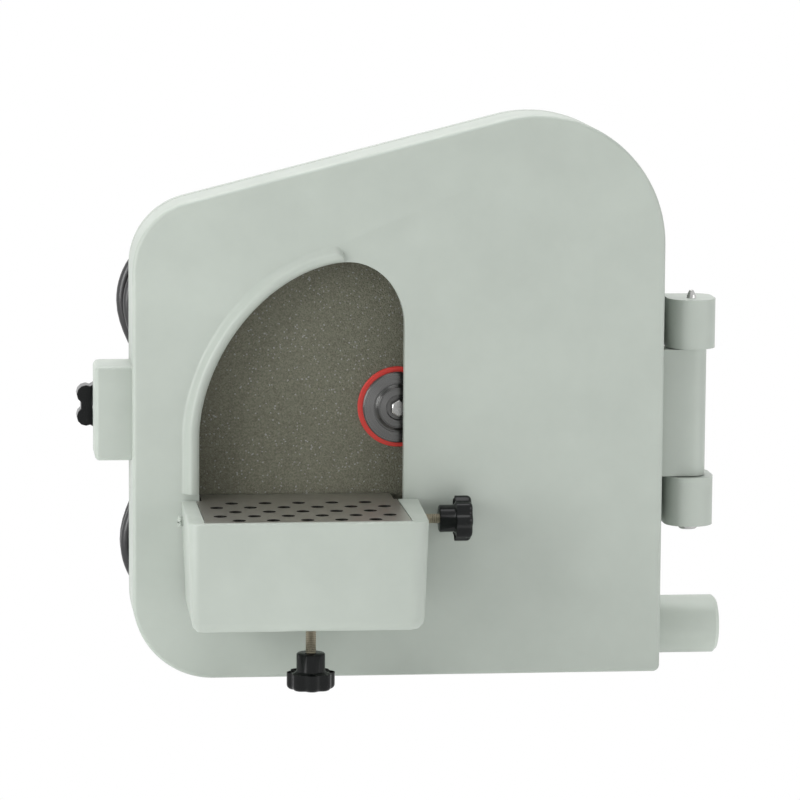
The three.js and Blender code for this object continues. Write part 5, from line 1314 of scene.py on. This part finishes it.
class TRIMMER_OT_table(PieceOperator, bpy.types.Operator):
    """Build the tray, its perforated sheet, the bracket and the pivot screw"""

    bl_idname = "trimmer.table"
    bl_label = "Table"
    solids = (("table_bracket", "enamel", 0.7, 2, 35),)

    def build(self, context):
        table = sizes_of(context, "trimmer_table")
        settle(dressed("table_tray", finish("enamel"), angle=30), "table_tray")
        settle(build_sheet(table, finish("plate")), "perforated_plate")
        settle(build_pivot(table, finish("enamel")), "pivot_screw")


class TRIMMER_OT_knobs(PieceOperator, bpy.types.Operator):
    """Build the clamp knob and the stop knob with their studs"""

    bl_idname = "trimmer.knobs"
    bl_label = "Knobs"
    solids = (("clamp_stud", "stud_across", 0.3, 2), ("stop_stud", "stud_upright", 0.3, 2))

    def build(self, context):
        knob = sizes_of(context, "trimmer_knobs")
        settle(build_knob(knob, "side", "clamp_knob_look", CLAMP_KNOB_START, "X", 1), "clamp_knob")
        settle(build_knob(knob, "stop", "stop_knob_look", STOP_KNOB_START, "Z", -1), "stop_knob")


class TRIMMER_OT_latch(PieceOperator, bpy.types.Operator):
    """Build the latch screw, its washer and its lobed knob"""

    bl_idname = "trimmer.latch"
    bl_label = "Latch"
    solids = (
        ("latch_screw", "screw", 0.3, 2),
        ("latch_washer", "screw", 0.2, 2),
        ("latch_knob", "knob", 1.2, 4, 40),
    )


class TRIMMER_OT_cord(PieceOperator, bpy.types.Operator):
    """Lay the mains cord from its strain relief through the hank to the plug"""

    bl_idname = "trimmer.cord"
    bl_label = "Mains cord"
    solids = (("cord_tie", "plastic", 0.5, 2),)

    def build(self, context):
        cord = sizes_of(context, "trimmer_cord")
        points = cord_points()
        lead = tube_curve("mains_cord", points, cord.diameter, finish("cord"))
        settle(lead, "cord_lead", "cord_hank", "cord_tail")
        plug = settle(dressed("plug_body", finish("rubber"), 1.0, 3, 30), "plug_body")
        pins = [
            settle(dressed(node, finish("brass"), 0.4, 2), node)
            for node in ("plug_pin_line", "plug_pin_neutral", "plug_pin_earth")
        ]
        real_length = path_length(points) * MM
        cord.diameter * MM


class TRIMMER_OT_motor(PieceOperator, bpy.types.Operator):
    """Dress the motor, its fan and the covers round them"""

    bl_idname = "trimmer.motor"
    bl_label = "Motor"
    solids = (
        ("motor_front_bell", "cast_enamel", 0.8),
        ("motor_shell", "cast_enamel", 0.4),
        ("motor_rear_bell", "cast_enamel", 0.8),
        ("fan_cover", "enamel", 0.5),
        ("cooling_fan", "plastic", 0.4),
        ("motor_shaft", "shaft", 0.4),
        ("rotor", "core", 0.3),
        ("stator_core", "core", 0.3),
        ("front_winding", "copper", 1.5),
        ("rear_winding", "copper", 1.5),
        ("front_bearing", "screw", 0.4),
        ("rear_bearing", "screw", 0.4),
        ("shaft_seal", "rubber", 0.2),
    )


class TRIMMER_OT_base(PieceOperator, bpy.types.Operator):
    """Dress the base frame, its feet and the drain sump"""

    bl_idname = "trimmer.base"
    bl_label = "Base and drain"
    solids = (
        ("base_frame", "cast_enamel", 1.0),
        ("drain_sump", "drain", 0.8),
        ("foot_front_left", "rubber", 0.5),
        ("foot_front_right", "rubber", 0.5),
        ("foot_rear_left", "rubber", 0.5),
        ("foot_rear_right", "rubber", 0.5),
    )


class TRIMMER_OT_electrics(PieceOperator, bpy.types.Operator):
    """Dress the terminal box, its lid, the rocker switch, the capacitor hood and the gland"""

    bl_idname = "trimmer.electrics"
    bl_label = "Electrics"
    solids = (
        ("terminal_box", "terminal", 0.9),
        ("terminal_box_lid", "terminal", 0.9),
        ("rocker_frame", "plastic", 0.4),
        ("rocker_cap", "knob", 0.6),
        ("capacitor_hood", "plastic", 0.8),
        ("cable_gland", "rubber", 0.4),
    )


class TRIMMER_OT_water(PieceOperator, bpy.types.Operator):
    """Dress the water valve, its lever and the spray tube"""

    bl_idname = "trimmer.water"
    bl_label = "Water"
    solids = (
        ("water_valve", "brass", 0.3),
        ("valve_lever", "plastic", 0.5),
        ("spray_tube", "screw", 0.2),
    )


# Stage

FLOOR_SIZE = 6.0
SENSOR = 36.0

# Each lamp: its name, the choice that holds its power, the length of its side, and its place, in metres.
LAMPS = (
    ("key_lamp", "key_power", 0.9, (-1.35, -0.95, 0.45)),
    ("fill_lamp", "fill_power", 1.4, (1.9, -1.3, 0.3)),
    ("top_lamp", "top_power", 2.3, (-0.2, 0.3, 1.9)),
)


def staged(name, data, where, look, roll=0.0):
    """A camera or lamp of the stage that stands at a place and looks along a line."""
    obj = bpy.data.objects.new(name, data)
    bpy.context.scene.collection.objects.link(obj)
    obj.location = where
    obj.rotation_mode = "QUATERNION"
    obj.rotation_quaternion = Quaternion(look, -roll) @ look.to_track_quat("-Z", "Y")
    return obj


def soft_lamp(name, watts, side, where, aim):
    """A large square lamp that points at a place on the machine."""
    data = bpy.data.lights.new(name, "AREA")
    data.energy = watts
    data.shape = "SQUARE"
    data.size = side
    where = Vector(where)
    return staged(name, data, where, aim - where)


def stage_camera(stage, aim):
    """The camera that takes the photograph's place."""
    level = math.cos(stage.pitch)
    look = Vector((math.sin(stage.yaw) * level, math.cos(stage.yaw) * level, -math.sin(stage.pitch)))
    data = bpy.data.cameras.new("Camera")
    data.lens = stage.lens
    data.sensor_width = SENSOR
    data.clip_start = 0.05
    data.clip_end = 60.0
    return staged("Camera", data, aim - look * stage.distance * MM, look, stage.roll)


def cleared_tree(holder):
    """The empty node tree of a material or world."""
    holder.use_nodes = True
    holder.node_tree.nodes.clear()
    return holder.node_tree


def white_to_camera(tree, seen, unseen):
    """A shader that is plain white to the camera and in reflections, and another one for all other light."""
    path = add(tree, "ShaderNodeLightPath").outputs
    mirrored = maths(tree, "MAXIMUM", path["Is Glossy Ray"], path["Is Transmission Ray"])
    white = maths(tree, "MAXIMUM", path["Is Camera Ray"], mirrored)
    return add(tree, "ShaderNodeMixShader", {0: white, 1: unseen, 2: seen}).outputs[0]


def floor_finish():
    """A pale floor that reads as white and still takes soft shadows."""
    material = bpy.data.materials.new("Floor")
    tree = cleared_tree(material)
    where = add(tree, "ShaderNodeTexCoord").outputs["Object"]
    patches = add(tree, "ShaderNodeTexNoise", {"Vector": where, "Scale": 6.0, "Detail": 3.0})
    tone = mixed(tree, patches.outputs[0], (0.82, 0.82, 0.82), (0.86, 0.86, 0.86))
    plain = add(tree, "ShaderNodeBsdfDiffuse", {"Color": tone})
    lit_below = add(tree, "ShaderNodeEmission", {"Color": tone, "Strength": 0.55})
    plain = add(tree, "ShaderNodeAddShader", {0: plain.outputs[0], 1: lit_below.outputs[0]})
    glow = add(tree, "ShaderNodeEmission", {"Color": (1.0, 1.0, 1.0, 1.0), "Strength": 1.0})
    surface = white_to_camera(tree, glow.outputs[0], plain.outputs[0])
    add(tree, "ShaderNodeOutputMaterial", {"Surface": surface})
    return material


def room_light(strength):
    """Even light from a pale room, white where the camera sees it."""
    world = bpy.data.worlds.new("Room")
    bpy.context.scene.world = world
    tree = cleared_tree(world)
    way = add(tree, "ShaderNodeTexCoord").outputs["Generated"]
    height = add(tree, "ShaderNodeSeparateXYZ", {0: way}).outputs["Z"]
    tone = mixed(tree, remapped(tree, height, -0.3, 0.9, 0, 1), (1.0, 1.0, 1.0), (0.8, 0.8, 0.8))
    around = add(tree, "ShaderNodeBackground", {"Color": tone, "Strength": strength})
    white = add(tree, "ShaderNodeBackground", {"Color": (1.0, 1.0, 1.0, 1.0), "Strength": 1.0})
    surface = white_to_camera(tree, white.outputs[0], around.outputs[0])
    add(tree, "ShaderNodeOutputWorld", {"Surface": surface})


def lay_floor():
    """The wide floor that the machine stands on."""
    bm = bmesh.new()
    bmesh.ops.create_grid(bm, x_segments=1, y_segments=1, size=FLOOR_SIZE)
    mesh = bpy.data.meshes.new("floor")
    bm.to_mesh(mesh)
    bm.free()
    new_object("floor", mesh, floor_finish())


class TRIMMER_OT_stage(bpy.types.Operator):
    """Set the floor, the lamps, the room and the camera"""

    bl_idname = "trimmer.stage"
    bl_label = "Stage"

    def execute(self, context):
        stage = sizes_of(context, "trimmer_stage")
        context.scene.view_settings.view_transform = "Standard"
        aim = place(stage.aim_x, stage.aim_y, stage.aim_z)
        context.scene.camera = stage_camera(stage, aim)
        lay_floor()
        for name, choice, side, where in LAMPS:
            soft_lamp(name, getattr(stage, choice), side, where, aim)
        room_light(stage.room)
        return {"FINISHED"}


class TRIMMER_PT_panel(bpy.types.Panel):
    """Lists the operators that build the machine, and their sizes and choices"""

    bl_idname = "TRIMMER_PT_panel"
    bl_label = "Model trimmer"
    bl_space_type = "VIEW_3D"
    bl_region_type = "UI"
    bl_category = "Trimmer"

    def draw(self, context):
        for operator in OPERATORS:
            self.layout.operator(operator.bl_idname)
        for name, _ in SETTINGS:
            group = getattr(context.scene, name)
            column = self.layout.column()
            for key in group.bl_rna.properties.keys():
                if key not in ("rna_type", "name"):
                    column.prop(group, key)


SETTINGS = (
    ("trimmer_door", DoorSizes),
    ("trimmer_plate", PlateSizes),
    ("trimmer_disc", DiscSizes),
    ("trimmer_table", TableSizes),
    ("trimmer_knobs", KnobSizes),
    ("trimmer_cord", CordSizes),
    ("trimmer_finish", FinishChoices),
    ("trimmer_stage", StageChoices),
)

OPERATORS = (
    TRIMMER_OT_stage,
    TRIMMER_OT_cord,
    TRIMMER_OT_door,
    TRIMMER_OT_plate,
    TRIMMER_OT_disc,
    TRIMMER_OT_hub,
    TRIMMER_OT_table,
    TRIMMER_OT_knobs,
    TRIMMER_OT_latch,
    TRIMMER_OT_motor,
    TRIMMER_OT_base,
    TRIMMER_OT_electrics,
    TRIMMER_OT_water,
)


def register():
    for name, group in SETTINGS:
        bpy.utils.register_class(group)
        setattr(bpy.types.Scene, name, bpy.props.PointerProperty(type=group))
    for operator in OPERATORS:
        bpy.utils.register_class(operator)
    bpy.utils.register_class(TRIMMER_PT_panel)


def unregister():
    bpy.utils.unregister_class(TRIMMER_PT_panel)
    for operator in reversed(OPERATORS):
        bpy.utils.unregister_class(operator)
    for name, group in reversed(SETTINGS):
        delattr(bpy.types.Scene, name)
        bpy.utils.unregister_class(group)


def main():
    register()
    for operator in OPERATORS:
        group, name = operator.bl_idname.split(".")
        getattr(getattr(bpy.ops, group), name)()


if __name__ == "__main__":
    main()
